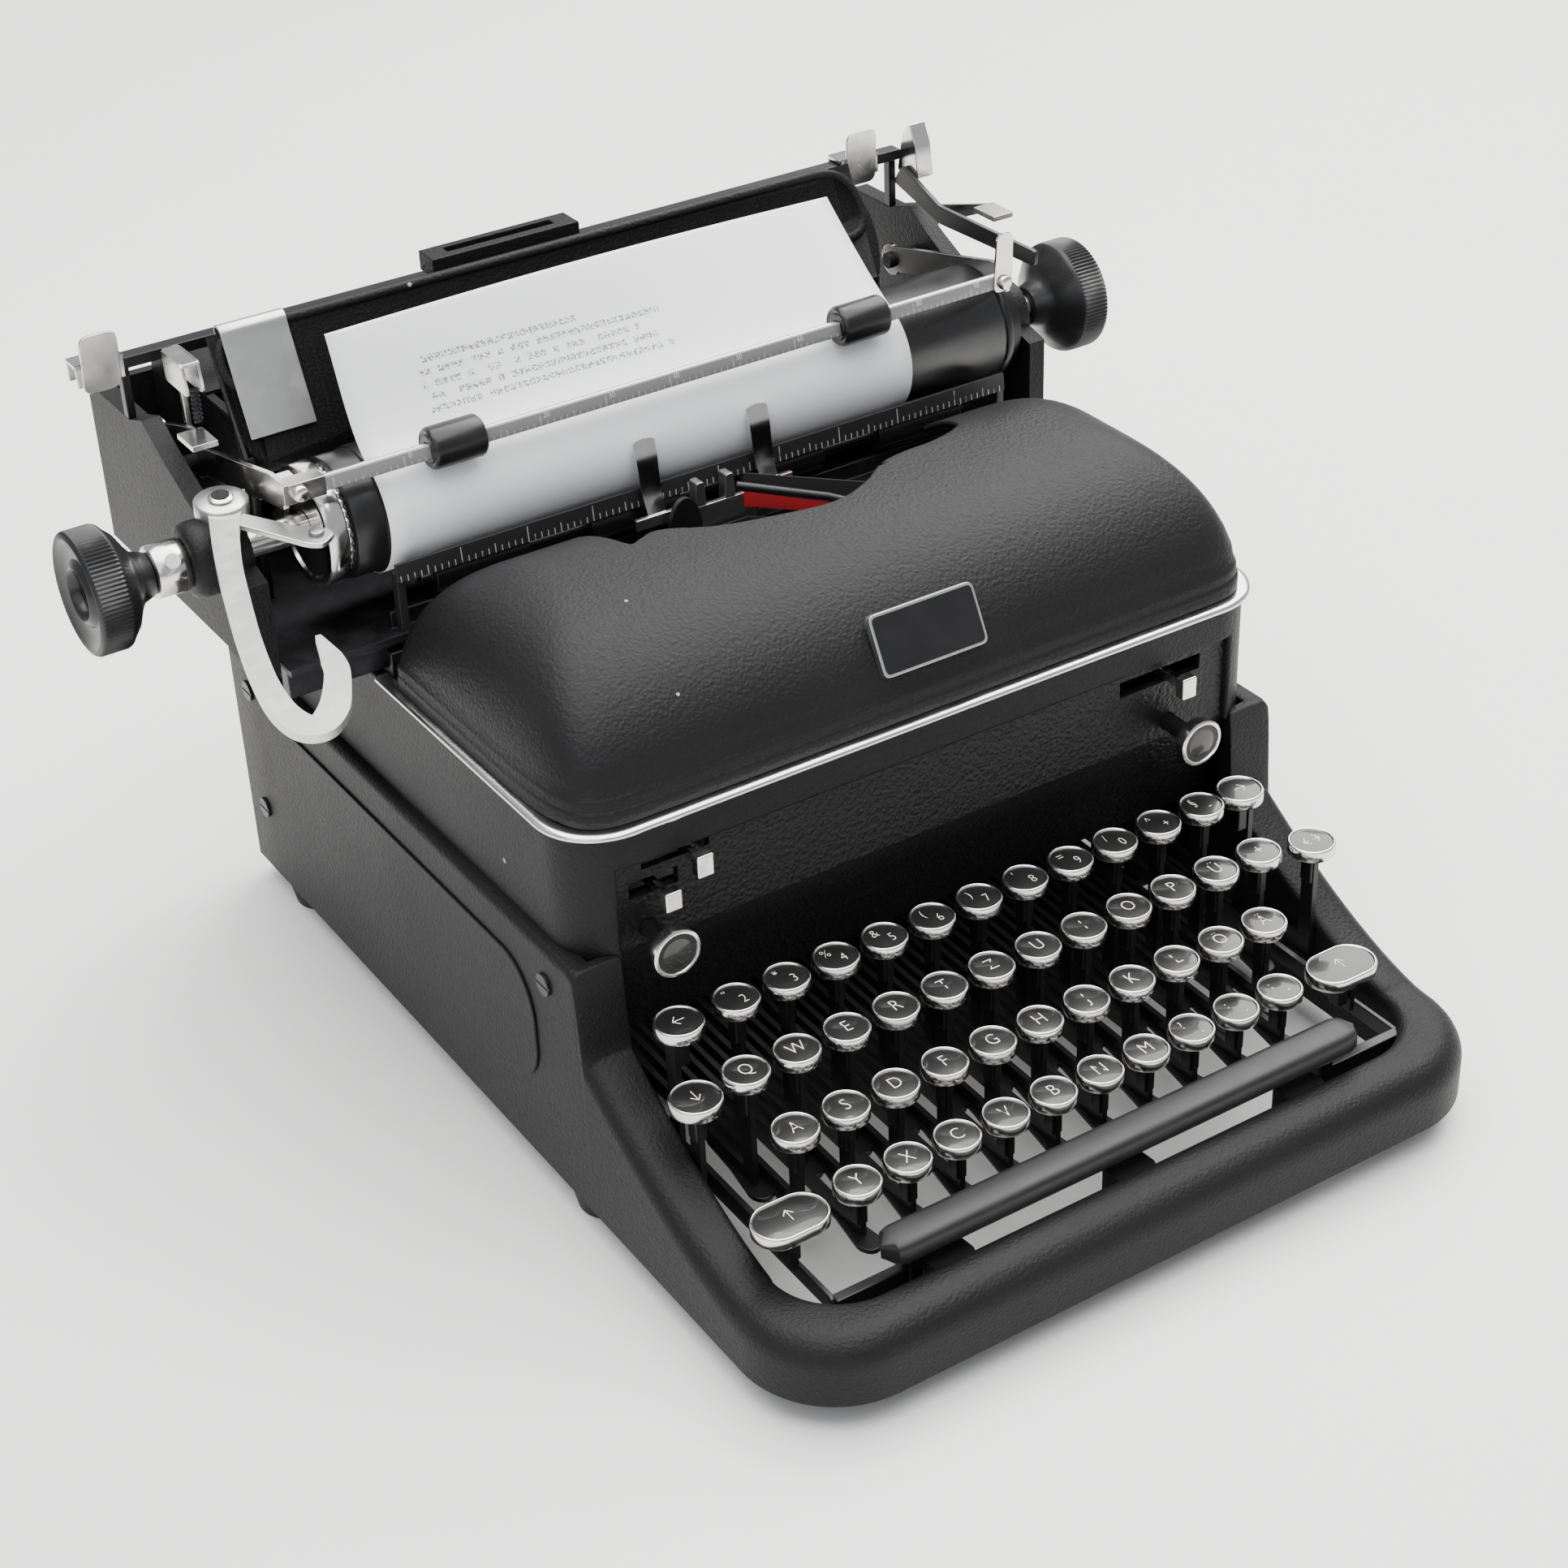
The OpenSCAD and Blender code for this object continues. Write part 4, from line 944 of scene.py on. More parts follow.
RING_PROFILE = ((-3.9, -0.9), (-3.9, -0.2), (-3.5, 0.05), (0.0, 0.1), (0.4, -0.1), (0.6, -0.45),
                (0.5, -0.8), (0.05, -1.05))


@dataclass
class KeyGroup:
    """The key tops on one CAD body: rings, glass faces and legends."""

    body: str
    node: str
    keys: List[KeyTop]

    def outline(self, key: KeyTop, radius: Array, steps: int = 36) -> Tuple[Array, Array]:
        """A circle whose right half is moved right and left half left by the stretch."""
        a = (np.arange(steps) + 0.5) * 2 * math.pi / steps
        x = radius[..., None] * np.cos(a) + np.sign(np.cos(a)) * key.stretch
        return key.x + x, key.y + radius[..., None] * np.sin(a)

    def ring(self, key: KeyTop) -> Part:
        """The ring's profile of heights and changes of radius, carried round the outline."""
        table = np.array(RING_PROFILE)
        x, y = self.outline(key, key.radius + table[:, 1])
        z = np.broadcast_to((key.z + table[:, 0])[:, None], x.shape)
        return np.stack([x, y, z], -1), grid_faces(*x.shape, wrap_cols=True)

    def dome(self, key: KeyTop) -> Part:
        """A shallow cap: height falls with the square of the radius."""
        r = np.linspace(0.02, 1, 6) * (key.radius - 0.95)
        x, y = self.outline(key, r)
        z = np.broadcast_to((key.z + 0.5 - 0.45 * (r / r[-1]) ** 2)[:, None], x.shape)
        faces = grid_faces(*x.shape, wrap_cols=True)
        return np.stack([x, y, z], -1), faces + [list(range(x.shape[1]))]

    def tongue(self, key: KeyTop) -> Part:
        """The rounded foot of the lever below a key, a flat plate with a round front."""
        z = 31.0
        a = np.radians(np.linspace(180, 360, 9))
        outline = [(key.x + 4.2 * math.cos(k), key.y - 5.0 + 5.5 * math.sin(k)) for k in a]
        outline += [(key.x + 2.0, key.y + 10), (key.x + 1.0, key.y + 26), (key.x - 1.0, key.y + 26),
                    (key.x - 2.0, key.y + 10)]
        return plate(outline, Axis.Z, z, z + 2.0)

    def build(self) -> None:
        """Makes the rings, faces, stems and legends of the group, and enamels its levers."""
        make(self.node + "_rings", join(map(self.ring, self.keys)), self.body, NICKEL,
             smooth=60)
        make(self.node + "_faces", join(map(self.dome, self.keys)), self.body, KEY_FACE)
        stems = [slab((k.x - 2.1, k.y - 2.6, k.z - 16), (k.x + 2.1, k.y + 2.6, k.z - 3.4))
                 for k in self.keys]
        make(self.node + "_stems", join(stems), self.body, ENAMEL, bevel=0.6)
        paint(self.node, ENAMEL)
        legends = [part for key in self.keys for part in lettering(key.text, (key.x, key.y, key.z + 0.52))]
        if legends:
            make(self.node + "_legends", join(legends), self.body, LEGEND, smooth=80)


def lettering(text: str, centre: Sequence[Number], size: Optional[Number] = None,
              tilt: Number = 0.0) -> List[Part]:
    """A key's legend as flat meshes: one letter in the middle, or two, upper left and lower right.

    Args:
        text: one or two signs.
        centre: the middle of the legend in the layout.
        size: height of the letters in millimetres, or None for a key's usual size.
        tilt: turn about X in degrees, for a scale that stands up.

    Returns:
        Points and faces of each sign.
    """
    spots = [(0.0, 0.0)] if len(text) == 1 or size else [(-2.3, 2.4), (1.8, -2.2)]
    marks = [text] if size else list(text)
    high = size or (5.8 if len(text) == 1 else 4.3)
    parts = []
    for mark, (dx, dy) in zip(marks, spots):
        curve = bpy.data.curves.new("sign", "FONT")
        curve.body, curve.size, curve.resolution_u, curve.offset = mark, high * 1.35, 3, -0.026 * high
        curve.align_x, curve.align_y = "CENTER", "CENTER"
        holder = bpy.data.objects.new("sign", curve)
        mesh = bpy.data.meshes.new_from_object(holder)
        points = np.empty(len(mesh.vertices) * 3)
        mesh.vertices.foreach_get("co", points)
        points = points.reshape(-1, 3)
        faces = [list(p.vertices) for p in mesh.polygons]
        bpy.data.objects.remove(holder)
        bpy.data.curves.remove(curve)
        bpy.data.meshes.remove(mesh)
        if not faces:
            continue
        points = points * [0.82 if not size else 0.9, 1, 1]
        out = np.hypot(points[:, 0] + dx, points[:, 1] + dy)
        points[:, 2] = -0.05 * (out / 3.0) ** 2 if not size else 0
        points = turn_about(points + [dx, dy, 0], Axis.X, tilt, (0, 0, 0)) + np.asarray(centre, float)
        parts.append((points, faces))
    return parts


@dataclass
class Keyboard:
    """All the keys: four rows and the function keys."""

    pitch: float = 19.05
    rows: Tuple[Tuple[str, str, float, float, float, Tuple[str, ...]], ...] = (
        ("number_row", "number_row_keys", 107.0, 89.5, -95.25,
         ('"2', "*3", "%4", "&5", "(6", ")7", "'8", "=9", "/0", "^+", "§-")),
        ("upper_row", "upper_row_keys", 87.0, 77.4, -104.8,
         ("Q", "W", "E", "R", "T", "Z", "U", "I", "O", "P", "Ü", "+")),
        ("home_row", "home_row_keys", 67.0, 65.3, -100.0,
         ("A", "S", "D", "F", "G", "H", "J", "K", "L", "Ö", "Ä")),
        ("lower_row", "lower_row_keys", 47.0, 53.2, -90.5,
         ("Y", "X", "C", "V", "B", "N", "M", "?,", ":.", ";-")),
    )

    def singles(self) -> List[KeyGroup]:
        """The function keys, each on its own body."""
        return [
            KeyGroup("backspace", "backspace_key", [KeyTop(-116.5, 107, 89.5, "←", 8.3)]),
            KeyGroup("tabulator", "tabulator_key", [KeyTop(112.5, 107, 89.5, "→", 8.3)]),
            KeyGroup("margin_release", "margin_release_key", [KeyTop(122.5, 80, 78.4, "↔", 8.3)]),
            KeyGroup("shift_lock", "shift_lock_key", [KeyTop(-122.5, 88.5, 73.9, "↓", 8.8)]),
            KeyGroup("shift", "shift_keys", [KeyTop(-115.5, 47, 51.2, "↑", 9.0, 4.2),
                                             KeyTop(108.5, 47, 51.2, "↑", 9.0, 4.2)]),
        ]

    def build(self) -> None:
        """Makes every key."""
        for body, node, y, z, first, signs in self.rows:
            keys = [KeyTop(first + i * self.pitch, y, z, sign) for i, sign in enumerate(signs)]
            KeyGroup(body, node, keys).build()
            if body != "number_row":
                group = KeyGroup(body, node, keys)
                make(node + "_tongues", join(map(group.tongue, keys)), body, ENAMEL,
                     bevel=0.5)
        for group in self.singles():
            group.build()


@dataclass
class SpaceBar:
    """The space bar: a long bar with a crowned top and round ends on two brackets, over felt pads."""

    half: float = 96.0
    y: float = 26.5
    z: float = 38.0
    width: float = 13.6
    height: float = 9.2

    def bar(self) -> Part:
        """A rounded section carried along X; near each end it shrinks as a quarter ellipse in plan."""
        u = np.linspace(-1, 1, 61)
        end = np.clip((np.abs(u) * self.half - (self.half - self.width / 2)) / (self.width / 2), 0, 1)
        shrink = np.sqrt(np.clip(1 - end ** 2, 0.0, 1))
        a = np.linspace(0, 2 * math.pi, 24, endpoint=False)
        sy = np.sign(np.cos(a)) * np.abs(np.cos(a)) ** 0.55
        sz = np.sign(np.sin(a)) * np.abs(np.sin(a)) ** 0.62
        y = self.y + shrink[:, None] * sy[None] * self.width / 2
        z = self.z + self.height / 2 - 0.8 + (0.55 + 0.45 * shrink[:, None]) * sz[None] * self.height / 2
        x = np.broadcast_to((u * self.half)[:, None], y.shape)
        faces = grid_faces(*y.shape, wrap_cols=True)
        last = (len(u) - 1) * len(a)
        faces += [list(range(len(a))), list(range(last + len(a) - 1, last - 1, -1))]
        return np.stack([x, y, z], -1), faces

    def arms(self) -> Part:
        """Two long levers from the fulcrum, with a foot that turns in below the bar and a bracket up
        to it."""
        low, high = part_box("space_bar")
        parts = []
        for x, side in (((low[0] - LAYOUT.shift[0]) * MM + 1, -1),
                        ((high[0] - LAYOUT.shift[0]) * MM - 1, 1)):
            y0, z0 = self.y, 24.0
            arm = [(y0, z0), (y0 + 2, z0 + 6), (238, z0 + 6), (300, 45.5), (303.5, 42), (300, 38.5),
                   (240, z0)]
            parts.append(plate(rounded(arm, 1.5, 3), Axis.X, x - 1, x + 1))
            parts.append(slab((min(x, side * 82), y0, z0), (max(x, side * 82), y0 + 4, z0 + 6)))
            parts.append(slab((side * 84 - 2.4, y0 - 2, z0), (side * 84 + 2.4, y0 + 3.8, self.z + 1)))
        return join(parts)

    def build(self) -> None:
        """Makes the bar, its arms and the pads."""
        enamel = Gloss("space_enamel", (0.008, 0.008, 0.0085), 0.42)
        make("space_bar_top", self.bar(), "space", enamel, ["space_bar"])
        make("space_bar_arms", self.arms(), "space", ENAMEL, bevel=0.5)
        pads = []
        for x in (-72.0, 0.0, 72.0):
            outline = rounded([(x - 8.5, 20.2), (x + 8.5, 20.2), (x + 7.5, 31), (x - 7.5, 31)], 3)
            pads.append(plate(outline, Axis.Z, 14.0, 31.0))
        make("rest_pads", join(pads), "body", FELT, bevel=1.0)


# ---------------------------------------------------------------- carriage

@dataclass
class Platen:
    """The platen with its rubber, end rings, shaft, hub, ratchet and knobs."""

    y: float = 283.0
    z: float = 200.5
    radius: float = 22.0
    half: float = 126.0

    def knob(self, face: float, inwards: float) -> Part:
        """A knob's profile: dished face with a deep recess, rolled edge, ribbed rim and a neck behind."""
        p = [(4.0, 0.0), (4.0, 7.6), (1.0, 8.4), (0.6, 9.2), (1.0, 10.0), (2.6, 11.6), (2.2, 15.0),
             (0.6, 18.0), (0.2, 19.2), (0.8, 20.5), (1.8, 21.0), (10.6, 21.0), (11.8, 20.5), (12.6, 19.4),
             (15.4, 16.6), (18.0, 12.0), (20.2, 9.0), (24.6, 7.4), (25.0, 6.8), (25.0, 5.2)]
        return turned([(face + inwards * a, r) for a, r in p], Axis.X, (0, self.y, self.z), 180, 90, 0.45)

    def build(self) -> None:
        """Makes the turned parts, all on the platen's body."""
        c = (0, self.y, self.z)
        e, r = self.half, self.radius
        roller = [(-e - 12.4, 5.2), (-e - 12.4, r - 1.4), (-e - 11.8, r - 0.8), (-e - 1.6, r - 0.8),
                  (-e - 1.2, r), (e - 0.6, r), (e, r - 0.6), (e, 5.2)]
        make("platen_rubber", turned(roller, Axis.X, c, 128), "platen", RUBBER,
             ["platen_roller"], smooth=50)
        ring = [(-e - 12.6, 5.4), (-e - 12.6, 18.2), (-e - 14.6, 18.2), (-e - 14.8, 20.6),
                (-e - 15.5, 21.2), (-e - 21.8, 21.2), (-e - 22.4, 20.6), (-e - 22.4, 18.0),
                (-e - 21.4, 17.4), (-e - 21.4, 5.4)]
        make("platen_end_ring", turned(ring, Axis.X, c, 96), "platen", NICKEL, smooth=50)
        teeth = [(-e - 12.7, 5.4), (-e - 12.7, 19.0), (-e - 13.0, 19.4), (-e - 14.2, 19.4),
                 (-e - 14.5, 19.0), (-e - 14.5, 5.4)]
        make("ratchet_teeth", turned(teeth, Axis.X, c, 144, 36, 1.2), "platen", NICKEL,
             ["ratchet_wheel"], smooth=50)
        shaft = [(-224.0, 0.0), (-224.0, 4.9), (171.0, 4.9), (171.0, 0.0)]
        hub = [(-202.8, 4.0), (-202.8, 8.4), (-202.2, 9.0), (-191.8, 9.0), (-191.2, 8.4), (-191.2, 6.8),
               (-185.0, 6.8), (-184.5, 4.0)]
        make("shaft_bright", join([turned(shaft, Axis.X, c, 40), turned(hub, Axis.X, c, 56)]), "platen",
             NICKEL, ["platen_shaft"], smooth=50)
        screw = turned([(8.0, 0.0), (8.0, 2.6), (9.9, 2.6), (9.9, 0.0)], Axis.Z, (-197.0, self.y, self.z),
                       20)
        make("hub_screw", (turn_about(screw[0], Axis.X, 52, (0, self.y, self.z)), screw[1]), "platen",
             SATIN)
        make("knob_left_ribbed", self.knob(-228.0, 1), "platen", PLASTIC, ["knob_left"],
             smooth=50)
        make("knob_right_ribbed", self.knob(175.0, -1), "platen", PLASTIC, ["knob_right"],
             smooth=50)
        cap = [(e + 0.2, 5.4), (e + 0.2, 21.0), (e + 0.8, 21.6), (e + 3.5, 21.6), (e + 4.2, 21.0),
               (e + 4.2, 18.4), (e + 9.0, 18.4), (e + 9.4, 17.8), (e + 9.4, 5.4)]
        make("platen_cap_right", turned(cap, Axis.X, c, 96), "platen", ENAMEL, smooth=50)


@dataclass
class PaperWork:
    """The sheet in the machine, the table behind it, the guide, the support and the scales."""

    y: float = 283.0
    z: float = 200.5
    wrap: float = 22.4
    left: float = -127.0
    width: float = 210.0

    def sheet(self) -> Tuple[Part, Array]:
        """The sheet follows the platen from below its back to 118 degrees, then leans back on a cubic whose
        end is higher and nearer on the left, so the free edge has a slight twist.

        Returns:
            Points and faces, and the UV pairs in millimetres.
        """
        a = np.radians(np.linspace(340, 118, 60))
        arc = np.stack([self.y + self.wrap * np.cos(a), self.z + self.wrap * np.sin(a)], -1)
        across = np.linspace(0, 1, 29)
        t = np.linspace(0, 1, 34)[1:, None, None]
        start, way = arc[-1], np.array([math.sin(a[-1]), -math.cos(a[-1])])
        left, right = np.array([295.0, 259.5]), np.array([314.0, 250.6])
        top = left + (right - left) * (across ** 1.15)[:, None]
        out = np.array([6.0, 12.0]) + (np.array([12.0, 10.0]) - np.array([6.0, 12.0])) * across[:, None]
        bow = np.stack([0 * across, 1.6 * np.sin(math.pi * across)], -1)
        end = top + bow
        curve = ((1 - t) ** 3 * start + 3 * t * (1 - t) ** 2 * (start + 13 * way)
                 + 3 * t * t * (1 - t) * (end - out)[None] + t ** 3 * end[None])
        yz = np.concatenate([np.broadcast_to(arc[:, None], (len(arc), len(across), 2)), curve])
        x = np.broadcast_to((self.left + self.width * across)[None, :, None], (*yz.shape[:2], 1))
        points = np.concatenate([x, yz], -1)
        run = np.concatenate([np.zeros((1, len(across))),
                              np.cumsum(np.linalg.norm(np.diff(yz, axis=0), axis=-1), 0)])
        v = run.max() - run
        uv = np.stack([np.broadcast_to(self.width * across, v.shape), v], -1)
        log.info("sheet: %.0f mm long in the machine; the typing point is at v = %.0f", run.max(),
                 v[np.argmin(np.abs(points[:, 0, 2] - 214)), 0])
        return (points, grid_faces(*yz.shape[:2])), uv.reshape(-1, 2)

    def table(self) -> Part:
        """The table: a leaning plate with rounded upper corners, a rolled top edge and a rear housing."""
        low, top = np.array([304.5, 212.0]), np.array([325.0, 256.0])
        way = (top - low) / np.linalg.norm(top - low)
        length = float(np.linalg.norm(top - low))
        outline = rounded([(-156, 0.5), (100, 0.5), (106, 20), (100, length), (-156, length)], 16, 7)
        points, faces = plate(outline, Axis.Z, -2.2, 0.0)
        tilt = math.degrees(math.atan2(way[1], way[0]))
        edge = rounded([(-154, length - 20), (-154, length - 1), (98, length - 1), (103.5, 22)], 16, 7)[1:]
        roll = tube(np.array([(x, u, -1.2) for x, u in edge]), 2.1, 12)
        points, faces = join([(points, faces), roll])
        return turn_about(points, Axis.X, tilt, (0, 0, 0)) + [0, low[0], low[1]], faces

    def guide(self) -> List[Part]:
        """The bright paper guide: a strip that hooks over the table's top edge."""
        low = np.array([304.5, 212.0])
        tilt = math.degrees(math.atan2(44.0, 20.5))
        path = smooth_path([(12, 1.0), (30, 1.0), (44, 1.1), (48.6, 1.4), (50.8, -0.4), (50.4, -2.9),
                            (47, -3.4), (40, -3.4)], 6)
        way = np.gradient(path, axis=0)
        normal = np.stack([-way[:, 1], way[:, 0]], -1) / np.linalg.norm(way, axis=1, keepdims=True)
        outline = np.concatenate([path + 0.45 * normal, (path - 0.45 * normal)[::-1]])
        band = plate([tuple(q) for q in outline], Axis.X, -152.0, -128.0)
        points = turn_about(band[0], Axis.X, tilt, (0, 0, 0)) + [0, low[0], low[1]]
        return [(points, band[1])]

    def build(self) -> None:
        """Makes the sheet, table, guide, support and scales."""
        sheet, uv = self.sheet()
        make("sheet_of_paper", sheet, "carriage", PAPER, ["paper_sheet"], wall=0.12, smooth=80,
             uv=uv)
        make("table_plate", self.table(), "carriage", PAINT, bevel=0.9)
        refine("paper_table", "carriage", PAINT, 0.9)
        make("guide_strip", join(self.guide()), "guide", SATIN, ["paper_guide"], bevel=0.2)
        refine("paper_support", "support", PAINT, 1.4)
        refine("margin_rack", "carriage", ENAMEL, 0.4)
        scale = Ticked("front_scale", (0.02, 0.02, 0.021), 0.4, -26.5, low=183.0, high=191.0)
        refine("paper_scale", "carriage", scale, 0.2)
        refine("carriage_beam", "carriage", DARK_STEEL, 0.4)


@dataclass
class Bail:
    """The paper bail: bar with a scale, rollers and arms."""

    y: float = 264.6
    z: float = 224.3

    def roller(self, x: float) -> Part:
        """A rubber roller with rounded ends and a shallow hub."""
        p = [(-10, 2.6), (-10, 4.6), (-9.4, 5.0), (-9.8, 6.3), (-9.0, 7.1), (-8.2, 7.3), (8.2, 7.3),
             (9.0, 7.1), (9.8, 6.3), (9.4, 5.0), (10, 4.6), (10, 2.6)]
        return turned(p, Axis.X, (x, self.y, self.z), 40)

    def build(self) -> None:
        """Makes the bar, its flat scale with figures, the rollers, and refines the arms."""
        low, high = self.z - 2.6, self.z + 2.4
        scale = Ticked("bail_scale", (0.20, 0.20, 0.205), 0.3, -26.5 - 116.6, low=low, high=high + 0.4)
        outline = rounded([(self.y - 3.5, low + 0.6), (self.y - 2.7, high), (self.y - 1.7, high + 0.4),
                           (self.y - 2.6, low)], 0.4, 3)
        make("bail_scale_bar", plate(outline, Axis.X, -147.0, 126.0), "bail", scale)
        rod = turned([(-147, 0.0), (-147, 2.3), (126, 2.3), (126, 0.0)], Axis.X, (0, self.y, self.z), 24)
        make("bail_rod", rod, "bail", SATIN, ["bail_bar"])
        figures = []
        for n in range(10):
            x = -116.6 + 25.4 * n
            if x < 120 and abs(x + 99) > 11 and abs(x - 63) > 11:
                figures += lettering(str(10 * n), (x, self.y - 3.4, self.z + 1.5), 2.1, 76.0)
        make("bail_figures", join(figures), "bail", LETTERS, smooth=80)
        make("bail_roller_rubber_left", self.roller(-99), "bail_wheel_left", RUBBER,
             ["bail_roller_left"], smooth=50)
        make("bail_roller_rubber_right", self.roller(63), "bail_wheel_right", RUBBER,
             ["bail_roller_right"], smooth=50)
        refine("bail_arms", "bail", NICKEL, 0.5)
        head = [(258.9, 0.05), (258.9, 2.1), (259.4, 2.7), (261.3, 2.7), (261.3, 0.05)]
        tab = rounded([(221, 119.5), (221, 127.5), (243, 128.0), (243, 121.0)], 2.6, 4)
        parts = [turned(head, Axis.Y, (x, 0, self.z), 24) for x in (-156.5, 124.0)]
        parts += [plate(tab, Axis.Y, 260.6, 261.6)]
        make("bail_screws", join(parts), "bail", NICKEL, smooth=50)


@dataclass
class ReturnLever:
    """The carriage return lever: a flat bell-crank bar with a hook at its end."""

    pivot: Tuple[float, float, float] = (-174.5, 285.0, 214.0)
    tilt: float = 5.5

    def blade(self) -> Part:
        """An even strip along a smooth path in the lever's own plane, wider in the hook."""
        spots = [(4, 6), (0, -3), (-6, -16), (-13.5, -36), (-20, -57), (-26, -78), (-31, -100),
                 (-32.6, -116), (-30.5, -126), (-26, -128), (-19.5, -122.5), (-14, -113.5), (-10, -105),
                 (-8.3, -97.5), (-7, -86)]
        widths = [6.5, 5.6, 4.6, 4.1, 3.9, 3.8, 3.8, 4.2, 4.8, 4.9, 4.8, 4.2, 3.9, 3.3, 0.9]
        path = smooth_path(spots, 7)
        half = np.interp(np.linspace(0, 1, len(path)), np.linspace(0, 1, len(widths)), widths)
        way = np.gradient(path, axis=0)
        normal = np.stack([-way[:, 1], way[:, 0]], -1) / np.linalg.norm(way, axis=1, keepdims=True)
        outline = np.concatenate([path + half[:, None] * normal, (path - half[:, None] * normal)[::-1]])
        return plate([tuple(q) for q in outline], Axis.Z, 0.0, 3.0)

    def build(self) -> None:
        """Makes the blade, the pivot boss and screw, and the short arm over the ratchet."""
        def lay(part: Part) -> Part:
            """Tilts a shape drawn about the pivot and moves it there."""
            return turn_about(part[0], Axis.X, self.tilt, (0, 0, 0)) + np.array(self.pivot), part[1]
        make("return_blade", lay(self.blade()), "return_arm", SATIN, ["return_lever"],
             bevel=0.7)
        crank = rounded([(-4, -9), (3, -7), (16, -25), (22, -29), (24.5, -34), (18, -39), (13.5, -36),
                         (2, -18)], 2.5, 4)
        make("return_crank", lay(plate(crank, Axis.Z, 0.0, 2.0)), "return_arm", SATIN,
             bevel=0.5)
        pin = turned([(1.8, 0.0), (1.8, 2.6), (3.0, 2.6), (3.4, 2.2), (3.4, 0.0)], Axis.Z, (18.6, -32.0, 0),
                     24)
        make("return_crank_pin", lay(pin), "return_arm", STEEL, smooth=50)
        boss = turned([(-1.0, 3.3), (-1.0, 9.0), (3.6, 9.0), (4.2, 8.4), (4.2, 3.3)], Axis.Z, (0, 0, 0), 40)
        make("return_boss", lay(boss), "return_arm", SATIN, smooth=50)
        screw = turned([(5.6, 0.0), (5.6, 3.4), (5.0, 4.2), (4.4, 4.2), (4.4, 0.0)], Axis.Z, (0, 0, 0), 28)
        make("return_screw", lay(screw), "carriage", NICKEL, smooth=50)


@dataclass
class CarriageEnds:
    """The end castings and the small levers, springs, brackets and tabs on them."""

    def build(self) -> None:
        """Refines the CAD parts and adds the margin tabs, barrel, box bracket, right arm and springs."""
        refine("end_casting_left", "carriage", PAINT, 1.2)
        refine("end_casting_right", "carriage", PAINT, 1.2)
        for side in ("left", "right"):
            refine("carriage_release_" + side, "release_" + side, NICKEL, 0.4)
            low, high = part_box("margin_stop_" + side)
            x = ((low[0] + high[0]) / 2 - LAYOUT.shift[0]) * MM
            tab = rounded([(236.5, x - 7.2), (236.5, x + 6.4), (257, x + 7.2), (257, x - 6.2)], 3.6)
            parts = [plate(tab, Axis.Y, 347.3, 348.5), slab((x - 8.5, 348.4, 239), (x + 8.5, 349.6, 247)),
                     slab((x - 8.5, 348.4, 245.4), (x + 8.5, 357.5, 247)),
                     slab((x - 8.5, 356.4, 239), (x + 8.5, 357.6, 247))]
            make("margin_tab_" + side, join(parts), "stop_" + side, NICKEL,
                 ["margin_stop_" + side], bevel=0.35)
        refine("line_space_lever", "spacer", NICKEL, 0.4)
        barrel = turned([(-190.8, 7.3), (-190.8, 10.5), (-189.6, 12.2), (-187.0, 12.9), (-178.2, 12.9),
                         (-178.2, 7.3)], Axis.X, (0, 283.0, 200.5), 48)
        make("barrel_left", barrel, "carriage", PAINT, smooth=50)
        bits = [spring((-164.3, 322, 228), 1.3, 13, 8, 0.45), spring((147.5, 318, 178), 3.6, 24, 9, 0.6)]
        shell = rounded([(315, 241), (333, 241), (334, 252), (317, 252)], 2.0, 4)
        box = [plate(shell, Axis.X, -169.5, -168.3), plate(shell, Axis.X, -163.9, -162.7),
               slab((-169, 317, 250.6), (-163, 334, 252)),
               slab((-164.8, 333, 216), (-162.6, 335.5, 251.5))]
        make("box_bracket_left", join(box), "carriage", NICKEL, bevel=0.35)
        arm = rounded([(352, 232), (346, 240), (322, 231), (262, 232), (262, 226), (322, 224)], 1.6, 3)
        make("side_arm_right", plate(arm, Axis.X, 138.6, 140.6), "carriage", ENAMEL,
             bevel=0.4)
        ear = rounded([(338, 236), (352, 236), (349, 250), (344, 257), (340, 249)], 1.4, 3)
        make("side_ear_right", plate(ear, Axis.X, 140.7, 148.0), "carriage", NICKEL,
             bevel=0.4)
        make("end_springs", join(bits), "carriage", DARK_STEEL, smooth=60)


